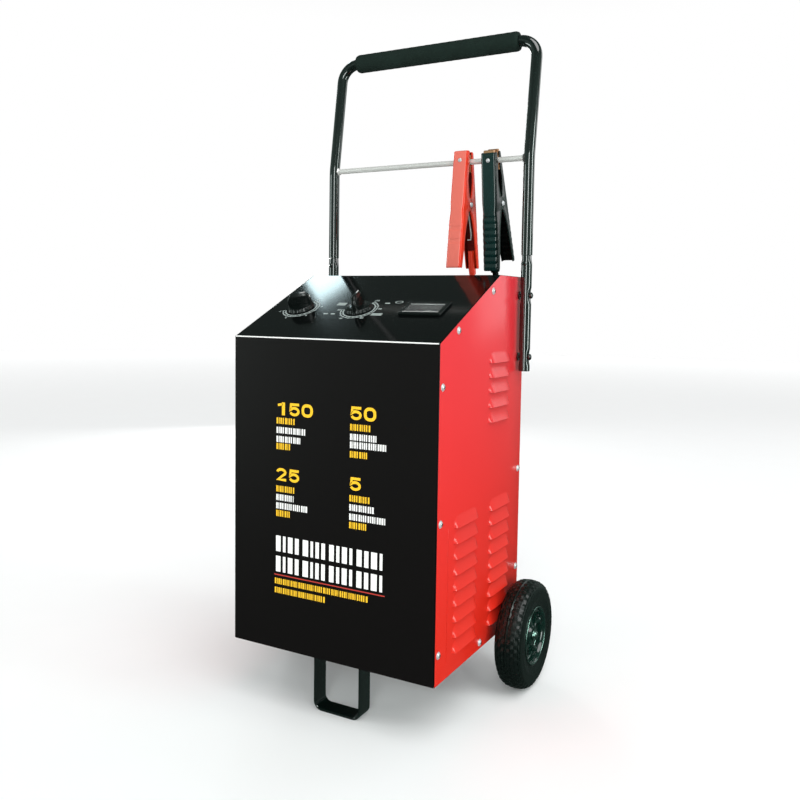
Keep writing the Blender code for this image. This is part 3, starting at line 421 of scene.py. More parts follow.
def makeSidePanel(side):
    w, d = case["halfWidth"], case["halfDepth"]
    low, bend, top = case["floorZ"], case["bendZ"], case["topZ"]
    outline = [(-d, low), (d, low), (d, top), (case["slopeEndY"], top), (-d, bend)]
    bm = bmesh.new()
    extruded(bm, [place(w, y, z) for y, z in outline], (-case["sheet"], 0, 0))
    bmesh.ops.bevel(bm, geom=bm.edges[:], offset=0.0005, segments=2, profile=0.5, affect="EDGES", material=-1)
    for y, first, count in ((0.049, 0.4685, 5), (0.059, 0.2665, 9), (-0.053, 0.268, 9)):
        for i in range(count):
            louvre(bm, y, first - i * case["louvrePitch"])
    block(bm, place(w - 0.0001, -0.1055, 0.1), place(w + 0.0004, -0.1045, 0.27), bevel=0.0002)
    bmesh.ops.recalc_face_normals(bm, faces=bm.faces)
    for face in bm.faces:
        middle = face.calc_center_median()
        front = middle.y - yBack < 0.0005 - d or middle.z > case["bendZ"] and face.normal.z > 0.3
        if abs(face.normal.x) < 0.97 and middle.x < w + 0.00001 and front:
            face.material_index = 2  # the cover's black paint comes round to these edges
    if side < 0:
        bmesh.ops.scale(bm, vec=(-1, 1, 1), verts=bm.verts)
    name = "right" if side > 0 else "left"
    piece(name + "SidePanel", bm, [redPaint, louvreGapShade, blackPaint], gone=[name + "_side_panel"], smooth=50)


# the two crossed slots in a screw's head, from its height up, as dark bars in the second material: painted shade for
# the recess
def crossSlot(bm, spot, angle, low, high):
    for a in (angle, angle + pi / 2):
        block(bm, (-0.0022, -0.0004, low), (0.0022, 0.0004, high), spot @ Matrix.Rotation(a, 4, "Z"), mat=1)


# pan heads with a cross recess, shown as painted shade, and a washer under each
def caseScrews():
    bm = bmesh.new()
    dome = [(0, 0.0026), (0.0014, 0.0025), (0.0028, 0.002), (0.0037, 0.0011), (0.004, 0.0004), (0.0048, 0.0003),
            (0.0048, -0.0002), (0, -0.0002)]
    sides = [(0.022, 0.5645), (-0.086, 0.514), (-0.128, 0.447), (-0.128, 0.2815), (-0.128, 0.1195), (-0.0005, 0.091),
             (0.1285, 0.308), (0.1285, 0.162)]
    spots = [(facing(place(side * case["halfWidth"], y, z), (side, 0, 0)), 0.4) for side in (-1, 1) for y, z in sides]
    spots += [(facing(place(x, case["halfDepth"], z), (0, 1, 0)), 0.3) for x in (-0.138, 0.138) for z in (0.105, 0.33, 0.56)]
    for spot, angle in spots:
        turn(bm, dome, spot, 20)
        crossSlot(bm, spot, angle, 0.0021, 0.00275)
    piece("caseScrews", bm, [zinc, blackPlasticAndSlotShade], smooth=40)


# a light strip along the bend between the front and the slope: a painted highlight where the bend catches the light
def bendHighlight():
    w = case["halfWidth"] - case["sheet"] - 0.0004
    bm = bmesh.new()
    profile = [(-0.00005, -0.001), (-0.0004, -0.0007), (-0.00055, 0.0), (-0.0002, 0.0005), (0.0002, 0.0006), (0.0003, 0.0003)]
    loft(bm, [[place(x, -case["halfDepth"] + y, case["bendZ"] + z) for y, z in profile] for x in (-w, w)], ends=True)
    piece("bendHighlight", bm, printWhiteAndHighlight)


inkUnder, inkOver = 0.00004, 0.00005  # how far a printed shape reaches into the paint and stands over it


# numerals as a thin raised mesh
def letters(bm, text, size, matrix, heavy=0.0):
    font = bpy.data.curves.new("numerals", "FONT")
    font.body, font.size, font.extrude, font.offset = text, size, 0.00004, heavy
    font.align_x = font.align_y = "CENTER"
    font.resolution_u = 4
    maker = bpy.data.objects.new("numerals", font)
    bpy.context.scene.collection.objects.link(maker)
    bpy.context.view_layer.update()
    mesh = bpy.data.meshes.new_from_object(maker.evaluated_get(bpy.context.evaluated_depsgraph_get()))
    mesh.transform(matrix)
    bm.from_mesh(mesh)
    bpy.data.objects.remove(maker)
    bpy.data.curves.remove(font)
    bpy.data.meshes.remove(mesh)


# a flat stroke of even width along points in the plane of matrix
def ribbon(bm, points, width, matrix, mat=0, closed=False):
    count = len(points)
    sections = []
    for i in range(count):
        before = points[i - 1] if i or closed else points[i]
        after = points[(i + 1) % count] if i < count - 1 or closed else points[i]
        here = Vector(points[i])
        runs = [run.normalized() for run in (here - Vector(before), Vector(after) - here) if run.length > 1e-9]
        across = sum((Vector((-run.y, run.x)) for run in runs), Vector((0, 0))).normalized()
        across *= width / 2 / max(0.5, across.dot(Vector((-runs[0].y, runs[0].x))))
        a, b = here + across, here - across
        corners = ((a, -inkUnder), (b, -inkUnder), (b, inkOver), (a, inkOver))
        sections.append([matrix @ Vector((*spot, z)) for spot, z in corners])
    if closed:
        sections.append(sections[0])
    rings = loft(bm, sections, ends=not closed, mat=mat)
    if closed:
        bmesh.ops.remove_doubles(bm, verts=rings[0] + rings[-1], dist=0.000001)


# a broad heavy figure 18 mm wide and 17 mm tall, from its lower left corner
def numeral(bm, digit, x, z, matrixAt, mat):
    spot = matrixAt(x, z)
    m = 0.001

    def oval(cx, cy, rx, ry, first, last, steps=16):
        spans = (radians(first + (last - first) * i / steps) for i in range(steps + 1))
        return [((cx + rx * cos(a)) * m, (cy + ry * sin(a)) * m) for a in spans]

    if digit == "0":
        turns = (2 * pi * i / 28 for i in range(28))
        ring = [((9 + 6.9 * signed(cos(a), 0.8)) * m, (8.5 + 6.7 * signed(sin(a), 0.8)) * m) for a in turns]
        ribbon(bm, ring, 4.0 * m, spot, mat, closed=True)
    elif digit == "1":
        ribbon(bm, [(11.5 * m, 0), (11.5 * m, 17 * m)], 5.0 * m, spot, mat)
        ribbon(bm, [(2.6 * m, 13.2 * m), (10 * m, 14.6 * m)], 3.2 * m, spot, mat)
    elif digit == "2":
        ribbon(bm, oval(8.6, 11.6, 6.4, 3.8, 175, -30) + [(3.6 * m, 1.9 * m), (16.4 * m, 1.7 * m)], 3.6 * m, spot, mat)
    elif digit == "5":
        flag = [(16.4 * m, 15.2 * m), (3.6 * m, 15.2 * m), (2.6 * m, 8.2 * m)]
        ribbon(bm, flag + oval(8.8, 6.2, 6.6, 4.4, 140, -160), 3.5 * m, spot, mat)


# rating numerals with rows of plain upright bars under them, and two rows of bolder bars for a heading
def frontPrint():
    bm = bmesh.new()
    lift = 0.00006
    base = 0.081
    pattern = (2.1, 1.2, 2.1, 1.7, 2.4, 1.1, 1.5, 1.6, 2.0, 1.3)

    # upright bars of uneven width, gaps between, until the row is filled
    def barRow(x, z, width, height, step, mat):
        reach, i = 0.0, 0
        while reach < width - 0.0005:
            bar = min(pattern[i % 10] * step, width - reach)
            block(bm, (0, 0, -0.00004), (bar, height, 0.00005), frontSpot(x + reach, base + z, lift), mat=mat)
            reach += bar + (1.75 if i % 4 == 3 else 1.05) * step
            i += 1

    groups = [
        ("150", -0.0845, 0.3165, ((0.305, 0.029, 1), (0.2925, 0.046, 0), (0.2805, 0.0385, 0), (0.271, 0.0235, 1))),
        ("50", 0.03, 0.319, ((0.3055, 0.0305, 1), (0.2932, 0.0395, 0), (0.2832, 0.053, 0), (0.2712, 0.0255, 1))),
        ("25", -0.0845, 0.229, ((0.2142, 0.029, 1), (0.2027, 0.028, 0), (0.1915, 0.05, 0), (0.1812, 0.0235, 1))),
        ("5", 0.03, 0.2295, ((0.2152, 0.0305, 1), (0.2035, 0.036, 0), (0.1915, 0.053, 0), (0.1808, 0.0255, 1))),
    ]
    for number, x, z, rows in groups:
        for i, digit in enumerate(number):
            numeral(bm, digit, x + 0.0202 * i, base + z, lambda px, pz: frontSpot(px, pz, lift), 1)
        for level, width, mat in rows:
            barRow(x + 0.0005, level, width, 0.0082, 0.00115, mat)
    for z in (0.1338, 0.1063):
        barRow(-0.084, z, 0.166, 0.0212, 0.0036, 0)
    block(bm, (0, 0, -0.00004), (0.17, 0.0014, 0.00005), frontSpot(-0.0867, base + 0.1013, lift), mat=2)
    for z, width in ((0.0895, 0.145), (0.0772, 0.081)):
        barRow(-0.0857, z, width, 0.0078, 0.0011, 1)
    piece("frontPrint", bm, [printWhiteAndHighlight, printYellow, printRed], smooth=20)


# a flat ring or part of one, from first to last degrees
def ringStrip(bm, centre, radius, width, first, last):
    ribbon(bm, arc((0, 0), radius, first, last, max(8, int(abs(last - first) / 5))), width, centre)


dials = {"knobX": (-0.102, -0.007), "along": 0.088, "innerRing": 0.0222, "outerRing": 0.0262}


# graduated rings round both knobs and the small marks beside them
def slopePrint():
    bm = bmesh.new()
    lift = 0.00006
    for x, first, last, marks, numbers in (
        (dials["knobX"][0], -160, 70, 14, ("2", "4", "6", "8", "10")),
        (dials["knobX"][1], -175, 65, 18, ("20", "40", "60", "80", "100")),
    ):
        centre = slopeSpot(x, dials["along"], lift)
        ringStrip(bm, centre, dials["innerRing"], 0.0013, first, last)
        ringStrip(bm, centre, dials["outerRing"], 0.001, first, last)
        for i in range(marks + 1):
            a = radians(first + (last - first) * i / marks)
            spin = centre @ Matrix.Rotation(a, 4, "Z")
            block(bm, (0.0228, -0.0004, -0.00003), (0.0258 if i % 3 else 0.0282, 0.0004, 0.00005), spin)
        for i, number in enumerate(numbers):
            a = radians(first + (last - first) * i / (len(numbers) - 1))
            letters(bm, number, 0.0052, slopeSpot(x + 0.031 * cos(a), dials["along"] + 0.031 * sin(a), lift), 0.00008)
    for x, along, width, height in ((-0.0436, 0.1045, 0.014, 0.0085), (0.0275, 0.0745, 0.016, 0.007)):
        for i in range(3):
            foot = height * (i / 3 - 0.5)
            block(bm, (-width / 2, foot, -0.00003), (width / 2, foot + height / 4.5, 0.00005), slopeSpot(x, along, lift))
    for x, along, width in ((-0.052, 0.073, 0.007), (-0.0405, 0.073, 0.0065), (0.0265, 0.1085, 0.0075)):
        block(bm, (-width / 2, -0.0013, -0.00003), (width / 2, 0.0013, 0.00005), slopeSpot(x, along, lift))
    ringStrip(bm, slopeSpot(0.0425, 0.1125, lift) @ Matrix.Diagonal((1.5, 0.9, 1, 1)), 0.0036, 0.0008, 0, 360)
    piece("slopePrint", bm, [printGrey], smooth=20)


# finishes for the pieces that keep their own plain shape
def dressCase():
    for mat, names in (
        (blackPaint, "front_cover"), (rearPaint, "rear_panel base_pan"), (dialCard, "ammeter_dial"),
        (printWhiteAndHighlight, "ammeter_needle"), (clearLens, "ammeter_lens"), (bakelite, "selector_switch rectifier_block"),
        (alloy, "charge_timer rectifier_plate"), (laminations, "transformer_core"), (winding, "transformer_winding"),
        (chrome, "crossbar red_clamp_spring black_clamp_spring"),
        (blackPlasticAndSlotShade, "ammeter_housing red_lead_gland black_lead_gland mains_gland"),
        (zinc, "axle left_axle_saddle right_axle_saddle left_axle_cap right_axle_cap red_clamp_pin black_clamp_pin"),
        (glossTube, "left_handle_tube right_handle_tube handle_upper foot_loop left_handle_screw right_handle_screw"),
    ):
        for name in names.split():
            mesh = nodes[name].data
            mesh.materials.clear()
            mesh.materials.append(mat)


dressCase()
for side in (-1, 1):
    makeSidePanel(side)
caseScrews()
bendHighlight()
frontPrint()
slopePrint()
print("case finished")


meter = {"x": 0.091, "along": 0.091, "halfWidth": 0.031, "halfHeight": 0.019, "dialDepth": -0.0074}


# a curved scale on the card, graduated, with numbers
def makeDial():
    bm = bmesh.new()
    pivot = slopeSpot(meter["x"], meter["along"] - 0.0087, meter["dialDepth"])
    for radius, width in ((0.0166, 0.0016), (0.0196, 0.0005)):
        ringStrip(bm, pivot, radius, width, 42, 138)
    for i in range(13):
        spin = pivot @ Matrix.Rotation(radians(45 + 7.5 * i), 4, "Z")
        block(bm, (0.0172, -0.0002, 0), (0.0196 if i % 3 else 0.0204, 0.0002, 0.00006), spin)
    # two white bars along the window's upper and lower edges: painted highlights on the bezel
    edge = slopeSpot(meter["x"], meter["along"])
    block(bm, (-0.0255, 0.0128, 0.0004), (0.0255, 0.0136, 0.001), edge)
    block(bm, (-0.0262, -0.0132, 0.0037), (0.0262, -0.0137, 0.00385), edge)
    for side in (-1, 1):
        letters(bm, "0" if side < 0 else "60", 0.0042, pivot @ Matrix.Translation((side * 0.018, 0.0175, 0)), 0.00006)
    piece("meterScale", bm, [printWhiteAndHighlight], smooth=20)


# raised moulded rim round the window, with rounded corners
def meterFrame():
    bm = bmesh.new()
    spot = slopeSpot(meter["x"], meter["along"])
    sections = []
    for inset, lift in ((0.0, 0.0004), (0.0001, 0.0026), (0.0012, 0.0037), (0.0034, 0.0037), (0.0044, 0.0028),
                        (0.0048, -0.0006)):
        r = max(0.0006, 0.003 - inset * 0.5)
        w, h = meter["halfWidth"] - inset, meter["halfHeight"] - inset
        corners = ((w - r, h - r, 0), (-w + r, h - r, 90), (-w + r, -h + r, 180), (w - r, -h + r, 270))
        sections.append([spot @ Vector((x, y, lift)) for cx, cy, a in corners for x, y in arc((cx, cy), r, a, a + 90, 5)])
    loft(bm, sections + sections[:1])
    bmesh.ops.remove_doubles(bm, verts=bm.verts, dist=0.000001)
    piece("meterRim", bm, blackPlasticAndSlotShade, smooth=30)


makeDial()
meterFrame()


knobs = {"radius": 0.019, "skirt": 0.0052, "height": 0.0232, "flutes": 30}


# a fluted skirt with a waisted finger bar across it, and white strips on the bar's top and end edge that are painted
# highlights
def makeKnob(name, x, angle, body, node):
    spot = slopeSpot(x, dials["along"]) @ Matrix.Rotation(radians(angle), 4, "Z")
    bm = bmesh.new()
    r, skirt = knobs["radius"], knobs["skirt"]
    profile = [(0, skirt + 0.0012), (r * 0.55, skirt + 0.0011), (r * 0.8, skirt + 0.0007), (r * 0.88, skirt),
               (r * 0.93, skirt - 0.0012), (r * 0.985, 0.0022), (r, 0.0012), (r, 0.0008), (0, 0.0008)]

    def fluted(i, j, radius, along):
        return (radius - (0.0006 if j % 4 < 2 and i in (4, 5, 6, 7) else 0), along)

    turn(bm, profile, spot, knobs["flutes"] * 4, fluted)
    sections = []
    for t in (0, 0.2, 0.4, 0.55, 0.68, 0.78, 0.86, 0.92, 0.965, 0.99, 1):
        z = skirt * 0.6 + (knobs["height"] - skirt * 0.6) * t
        halfL = r * 0.93 * (1 - 0.08 * t - 0.4 * t**5)
        halfT = 0.0054 - 0.0018 * t - 0.0014 * max(0, t - 0.82) / 0.18
        turns = [(cos(2 * pi * k / 28), sin(2 * pi * k / 28)) for k in range(28)]
        oval = ((halfL * signed(c, 0.45), halfT * (1 - 0.12 * abs(c)) * signed(s, 0.55)) for c, s in turns)
        sections.append([spot @ Vector((x, y, z)) for x, y in oval])
    loft(bm, sections, ends=True)
    piece(name, bm, blackPlasticAndSlotShade, body=body, gone=[node], smooth=38)
    # white strips on the top and the end edge of the bar: painted highlights
    line = bmesh.new()
    block(line, (r * 0.18, -0.0006, knobs["height"] - 0.0001), (r * 0.6, 0.0006, knobs["height"] + 0.0001), spot)
    block(line, (r * 0.735, -0.0006, 0.0065), (r * 0.86, 0.0006, knobs["height"] - 0.0055), spot)
    piece(name + "Line", line, printWhiteAndHighlight, body=body)


makeKnob("selectorKnob", dials["knobX"][0], 25, "selector_knob", "selector_knob")
makeKnob("timerKnob", dials["knobX"][1], 100, "timer_knob", "timer_knob")
print("controls finished")


wheel = {"radius": 0.076, "halfWidth": 0.0195, "x": 0.1815, "y": 0.0985, "blocks": 42}


def makeWheel(side):
    name = "right" if side > 0 else "left"
    spot = facing(place(side * wheel["x"], wheel["y"], wheel["radius"]), (side, 0, 0))
    r, h = wheel["radius"], wheel["halfWidth"]
    steps = wheel["blocks"] * 4
    # the tyre's outline from the crown to the bead, as shares of its radius and half width
    half = [(1.0015, 0.0), (1.0015, 0.016), (0.9975, 0.034), (0.997, 0.1), (0.997, 0.112), (0.9955, 0.3),
            (0.993, 0.312), (0.9915, 0.365), (0.9915, 0.377), (0.983, 0.565), (0.978, 0.577), (0.97, 0.64),
            (0.969, 0.652), (0.945, 0.815), (0.935, 0.83), (0.925, 0.865), (0.923, 0.87), (0.892, 0.935),
            (0.889, 0.942), (0.882, 0.958), (0.86, 0.985), (0.8, 1.0), (0.74, 0.985), (0.72, 1.0), (0.7, 0.985),
            (0.64, 0.94), (0.6, 0.9), (0.575, 0.885), (0.56, 0.9), (0.548, 0.87), (0.545, 0.78)]
    upper = [(r * a * 0.9985, h * b) for a, b in half]
    lower = [(a, -b) for a, b in upper[1:]]
    profile = upper + lower[::-1]
    count = len(half)

    # three rows of blocks a side with a finer fourth, each row half a step on from the last; the rest is groove
    def tread(i, j, radius, along):
        k = i if i < count else len(profile) - i
        if 2 < k < 19:
            row, place = divmod(k - 4, 4)
            raised = k >= 4 and place in (0, 1) and (j + 2 * row) % 4 < 2
            if not raised:
                radius -= r * (0.02 if row < 3 else 0.014)
        return radius, along

    bm = bmesh.new()
    turn(bm, profile, spot, steps, tread)
    piece(name + "Tyre", bm, tyreRubberAndPocketShade, body=name + "_wheel", gone=[name + "_tyre"], smooth=32)
    bm = bmesh.new()
    rim = [(0.541, 0.78), (0.541, 0.885), (0.525, 0.91), (0.505, 0.9), (0.49, 0.84), (0.478, 0.66), (0.47, 0.4),
           (0.455, 0.335), (0.4, 0.3), (0.3, 0.3), (0.235, 0.34), (0.205, 0.42), (0.19, 0.62), (0.17, 0.74),
           (0.0685, 0.74)]
    front = [(r * a, h * b) for a, b in rim]
    back = [(a, -b) for a, b in front]
    turn(bm, front + back[::-1], spot, 96)
    for i in range(5):
        spin = spot @ Matrix.Rotation(2 * pi * i / 5 + 0.3, 4, "Z")
        for face in (1, -1):
            rib = ((0.0135, 0.0042, 0.0125), (0.02, 0.0034, 0.0105), (0.027, 0.0032, 0.0092), (0.0358, 0.0046, 0.0125))
            loft(bm, [[spin @ Vector((x, y, face * q)) for y, q in
                       ((-w, 0.0055), (-w * 0.8, z * 0.88), (-w * 0.4, z), (w * 0.4, z), (w * 0.8, z * 0.88), (w, 0.0055))]
                      for x, w, z in rib], closed=False)
    # thin rings of bright metal round the hub's rim lips: painted highlights where the plastic rim catches the light
    edge = bmesh.new()
    for reach, level, thick in ((0.526, 0.905, 0.0011), (0.462, 0.36, 0.0008)):
        for face in (1, -1):
            turns = (2 * pi * k / 10 for k in range(10))
            bead = [(r * reach + thick * cos(a), face * (h * level + thick * 0.6 * sin(a))) for a in turns]
            turn(edge, bead, spot, 72)
    piece(name + "HubRimHighlights", edge, capMetalAndRimHighlight, body=name + "_wheel", smooth=60)
    piece(name + "Hub", bm, hubPlastic, body=name + "_wheel", gone=[name + "_hub"], smooth=30)
    # dull dark discs on the web between the spokes: painted shade standing in for the openings there
    holes = bmesh.new()
    for i in range(5):
        spin = spot @ Matrix.Rotation(2 * pi * (i + 0.5) / 5 + 0.3, 4, "Z")
        pocket = [(0, 0.0068), (0.0052, 0.0067), (0.006, 0.0061), (0.006, 0.0056), (0, 0.0056)]
        turn(holes, pocket, spin @ Matrix.Translation((0.0265, 0, 0)), 24)
    piece(name + "HubPockets", holes, tyreRubberAndPocketShade, body=name + "_wheel")


for side in (-1, 1):
    makeWheel(side)


def axleCaps():
    for name, side in (("left", -1), ("right", 1)):
        bm = bmesh.new()
        spot = facing(place(side * (wheel["x"] + 0.015), wheel["y"], wheel["radius"]), (side, 0, 0))
        turn(bm, [(0, 0.0059), (0.0025, 0.0057), (0.0048, 0.0048), (0.006, 0.0032), (0.0063, 0.002), (0.0084, 0.0014),
                  (0.0086, 0.0008), (0.0084, 0.0003), (0, 0.0003)], spot, 40)
        piece(name + "AxleCap", bm, capMetalAndRimHighlight, gone=[name + "_axle_cap"], smooth=30)


axleCaps()
print("wheels finished")


handle = {"tubeX": 0.164, "y": 0.1185, "endZ": 0.452, "seamZ": 0.618, "barZ": 0.755, "lean": radians(8.2), "rise": 0.1735,
          "corner": 0.027, "tube": 0.016, "grip": 0.028, "gripHalf": 0.1365}


def leaning(x, along):
    return place(x, handle["y"] + along * sin(handle["lean"]), handle["barZ"] + along * cos(handle["lean"]))


def makeHandle():
    x, r = handle["tubeX"], handle["corner"]
    side = [place(-x, handle["y"], z) for z in (handle["seamZ"] - 0.0002, 0.66, 0.7, 0.737, 0.743, 0.749)]
    side += [leaning(-x, along) for along in (0.004, 0.009, 0.016, 0.06, 0.1)]
    side += [leaning(px, along) for px, along in arc((-x + r, handle["rise"] - r), r, 180, 90, 12)]
    path = side + [Vector((-p.x, p.y, p.z)) for p in reversed(side)]
    tube("handleUpper", path, handle["tube"], glossTube, gone=["handle_upper"], sides=8)
    for name, s in (("left", -1), ("right", 1)):
        bm = bmesh.new()
        o, i = handle["tube"] / 2, handle["tube"] / 2 - 0.0015
        spot = Matrix.Translation(place(s * x, handle["y"], 0))
        low, high = handle["endZ"], handle["seamZ"] - 0.0006

        def dented(k, j, radius, along):
            if radius > i + 0.0002:
                near = max(cos(2 * pi * j / 48) ** 2 - 0.4, 0) / 0.6
                for z in (0.4725, 0.5605, high):
                    radius -= 0.0022 * near * max(0.0, 1 - ((along - z) / 0.011) ** 2)
            return radius, along

        profile = [(o, low + 0.0005)] + [(o, low + 0.003 + (high - low - 0.006) * k / 60) for k in range(61)]
        profile += [(o, high - 0.0005), (o - 0.0005, high), (i - 0.0022, high), (i - 0.0022, low), (o - 0.0005, low)]
        turn(bm, profile, spot, 48, dented)
        piece(name + "HandleTube", bm, glossTube, gone=[name + "_handle_tube"], smooth=35)
        bolts = bmesh.new()
        for z in (0.4725, 0.5605):
            out = facing(place(s * (x + o), handle["y"], z), (s, 0, 0))
            turn(bolts, [(0, 0.0024), (0.002, 0.0023), (0.0036, 0.0017), (0.0045, 0.0006), (0.0045, -0.001),
                         (0, -0.001)], out, 28)
            crossSlot(bolts, out, 0.2, 0.0018, 0.0025)
            stand = facing(place(s * case["halfWidth"], handle["y"], z), (s, 0, 0))
            turn(bolts, [(0.0026, 0.0002), (0.0056, 0.0002), (0.006, 0.0006), (0.006, 0.0015), (0.0056, 0.0019),
                         (0.0026, 0.0019)], stand, 28)
        piece(name + "HandleBolts", bolts, glossTube, gone=[f"{name}_handle_bolt_{i}" for i in (1, 2)])
    bm = bmesh.new()
    spot = facing(leaning(0, handle["rise"]), (1, 0, 0))
    g, h = handle["grip"] / 2, handle["gripHalf"]
    profile = [(0.0082, -h), (g - 0.004, -h), (g - 0.0012, -h + 0.0012), (g - 0.0001, -h + 0.0042)]
    profile += [(g - 0.0002 * (i % 2), -h + 0.006 + (2 * h - 0.012) * i / 40) for i in range(41)]
    profile += [(g - 0.0001, h - 0.0042), (g - 0.0012, h - 0.0012), (g - 0.004, h), (0.0082, h)]
    turn(bm, profile, spot, 48)
    piece("foamGrip", bm, foam, gone=["grip"], smooth=50)
    bm = bmesh.new()
    reach = x - handle["tube"] / 2 - 0.0002
    bar = facing(place(0, handle["y"], handle["barZ"]), (1, 0, 0))
    turn(bm, [(0, -reach)] + [(0.004, -reach + 2 * reach * i / 8) for i in range(9)] + [(0, reach)], bar, 32)
    for s in (-1, 1):
        weld = facing(place(s * reach, handle["y"], handle["barZ"]), (-s, 0, 0))
        turn(bm, [(0.004, 0.0), (0.0058, 0.0), (0.0052, 0.001), (0.0042, 0.0022)], weld, 32)
    piece("crossbarRod", bm, chrome, gone=["crossbar"], smooth=40)


# a flat bar bent to a U with rounded corners and edges, its ends turned out under the base
def footLoop():
    half, r, thick, wide = 0.035, 0.011, 0.003, 0.0255
    high = case["floorZ"] - 0.0003 - thick / 2
    path = [(-half - 0.018, high), (-half - 0.006, high)] + arc((-half - 0.004, high - 0.004), 0.004, 90, 0, 5)
    path += arc((-half + r, thick / 2 + r), r, 180, 270, 8) + arc((half - r, thick / 2 + r), r, 270, 360, 8)
    path += arc((half + 0.004, high - 0.004), 0.004, 180, 90, 5) + [(half + 0.006, high), (half + 0.018, high)]
    section = [(-1, -0.6), (-0.96, -1), (0.96, -1), (1, -0.6), (1, 0.6), (0.96, 1), (-0.96, 1), (-1, 0.6)]
    bm = bmesh.new()
    sections = []
    for i, (x, z) in enumerate(path):
        a, b = path[max(i - 1, 0)], path[min(i + 1, len(path) - 1)]
        run = Vector((b[0] - a[0], b[1] - a[1])).normalized() * thick / 2
        sections.append([place(x - run.y * v, -0.1028 + u * wide / 2, z + run.x * v) for u, v in section])
    loft(bm, sections, ends=True)
    piece("footLoop", bm, glossTube, gone=["foot_loop"], smooth=40)


makeHandle()
footLoop()
print("handle finished")


clamps = {"width": 0.023, "wall": 0.0015, "spread": tan(radians(8.5)), "pivotZ": -0.062, "ear": 0.009,
          "red": {"x": 0.0635, "swing": 1.5, "moving": -1}, "black": {"x": 0.1075, "swing": 15, "moving": 1}}


def clampSpot(colour):
    spec = clamps[colour]
    return Matrix.Translation(place(spec["x"], handle["y"], handle["barZ"])) @ Matrix.Rotation(radians(spec["swing"]), 4, "X")


def clampBody(colour, side):
    moves = clamps[colour]["moving"] == side
    return f"{colour}_clamp_{'front' if side < 0 else 'rear'}" if moves else "case"


# how far from the clamp's middle the side walls start, at height z; below 0 they pass the middle, as ears
def flangeReach(z):
    dz = z - clamps["pivotZ"]
    if abs(dz) < clamps["ear"]:
        return -sqrt(clamps["ear"] ** 2 - dz**2) * 0.98
    knots = [(-0.156, 0.03), (-0.15, 0.0285), (-0.13, 0.0235), (-0.112, 0.02), (-0.098, 0.0165), (-0.084, 0.011),
             (-0.0735, 0.0045), (-0.0505, 0.0045), (-0.042, 0.0075), (-0.028, 0.01), (-0.014, 0.008), (-0.005, 0.0062),
             (0.016, 0.0062)]
    for (z0, r0), (z1, r1) in zip(knots, knots[1:]):
        if z0 <= z <= z1:
            return r0 + (r1 - r0) * (z - z0) / (z1 - z0)
    return knots[-1][1]


# a pressed channel with rolled edges in a vinyl coat, its lower end ribbed for the fingers
def makeClampHalf(colour, side):
    width = clamps["width"] / 2 if side < 0 else clamps["width"] / 2 - 0.0019
    heights = [0.0153, 0.015, 0.0143, 0.013, 0.0115] if colour == "red" else [0.012, 0.0118, 0.011]
    heights += [0.0095, 0.006, 0.0, -0.007, -0.014, -0.021, -0.028, -0.035, -0.042, -0.0475, -0.0505, -0.0527]
    heights += [clamps["pivotZ"] + clamps["ear"] * cos(pi * i / 12) for i in range(1, 12)] + [-0.0713, -0.0735]
    heights += [-0.0735 - 0.00115 * i for i in range(1, 69)] + [-0.1527, -0.1538, -0.1545, -0.1548]
    bm = bmesh.new()
    sections = []
    for z in heights:
        out = 0.014 + (0.012 - z) * clamps["spread"]
        edge = min(1.0, max(0.0, (heights[0] + 0.0004 - z) / 0.0022)) * min(1.0, max(0.0, (z + 0.1556) / 0.003))
        out -= 0.0018 * (1 - edge) ** 2
        w = width - 0.0007 * (1 - edge) ** 2
        if colour == "black" and -0.151 < z < -0.078:
            out += 0.0011 * abs(sin((z + 0.078) / 0.0095 * pi)) - 0.0008
        if colour == "red" and (-0.101 < z < -0.095 or -0.119 < z < -0.113):
            out -= 0.0006
        w -= 0.001 * max(0.0, 1 - abs(z + 0.072) / 0.014) * (1 if side < 0 else 0)
        reach = min(flangeReach(z), out - 0.0045)
        r = 0.0036
        section = [(-w, reach), (-w, reach + (out - r - reach) * 0.5), (-w, out - r)]
        section += [(-w + r - r * cos(a), out - r + r * sin(a)) for a in (pi / 8, pi / 4, 3 * pi / 8, pi / 2)]
        section += [(0, out + 0.0003)]
        section += [(-x, y) for x, y in reversed(section[:-1])]
        sections.append([(x, y * side, z) for x, y in section])
    rings = loft(bm, sections, closed=False)
    if colour == "red":
        bm.faces.new(rings[0])
    bmesh.ops.recalc_face_normals(bm, faces=bm.faces)
    middle = [face for face in bm.faces if abs(face.calc_center_median().x) < 0.003]
    if sum(face.normal.y * side for face in middle) < 0:
        bmesh.ops.reverse_faces(bm, faces=bm.faces)
    # the front half's broad faces take the lighter copy of the coat, a painted sheen
    for face in bm.faces:
        if side < 0 and abs(face.normal.x) < 0.35:
            face.material_index = 2
    bmesh.ops.transform(bm, matrix=clampSpot(colour), verts=bm.verts)
    word = "front" if side < 0 else "rear"
    half = meshObject(f"{colour}Clamp{word.title()}", bm, [vinyls[colour], insides[colour], faces[colour], insides[colour]], 50)
    wall = half.modifiers.new("wall", "SOLIDIFY")
    wall.thickness, wall.offset, wall.use_even_offset, wall.material_offset = clamps["wall"], -1, False, 1
    bevelEdges(half, 0.0004, 2, 50)
    tag(half, clampBody(colour, side), [f"{colour}_clamp_{word}_half"])


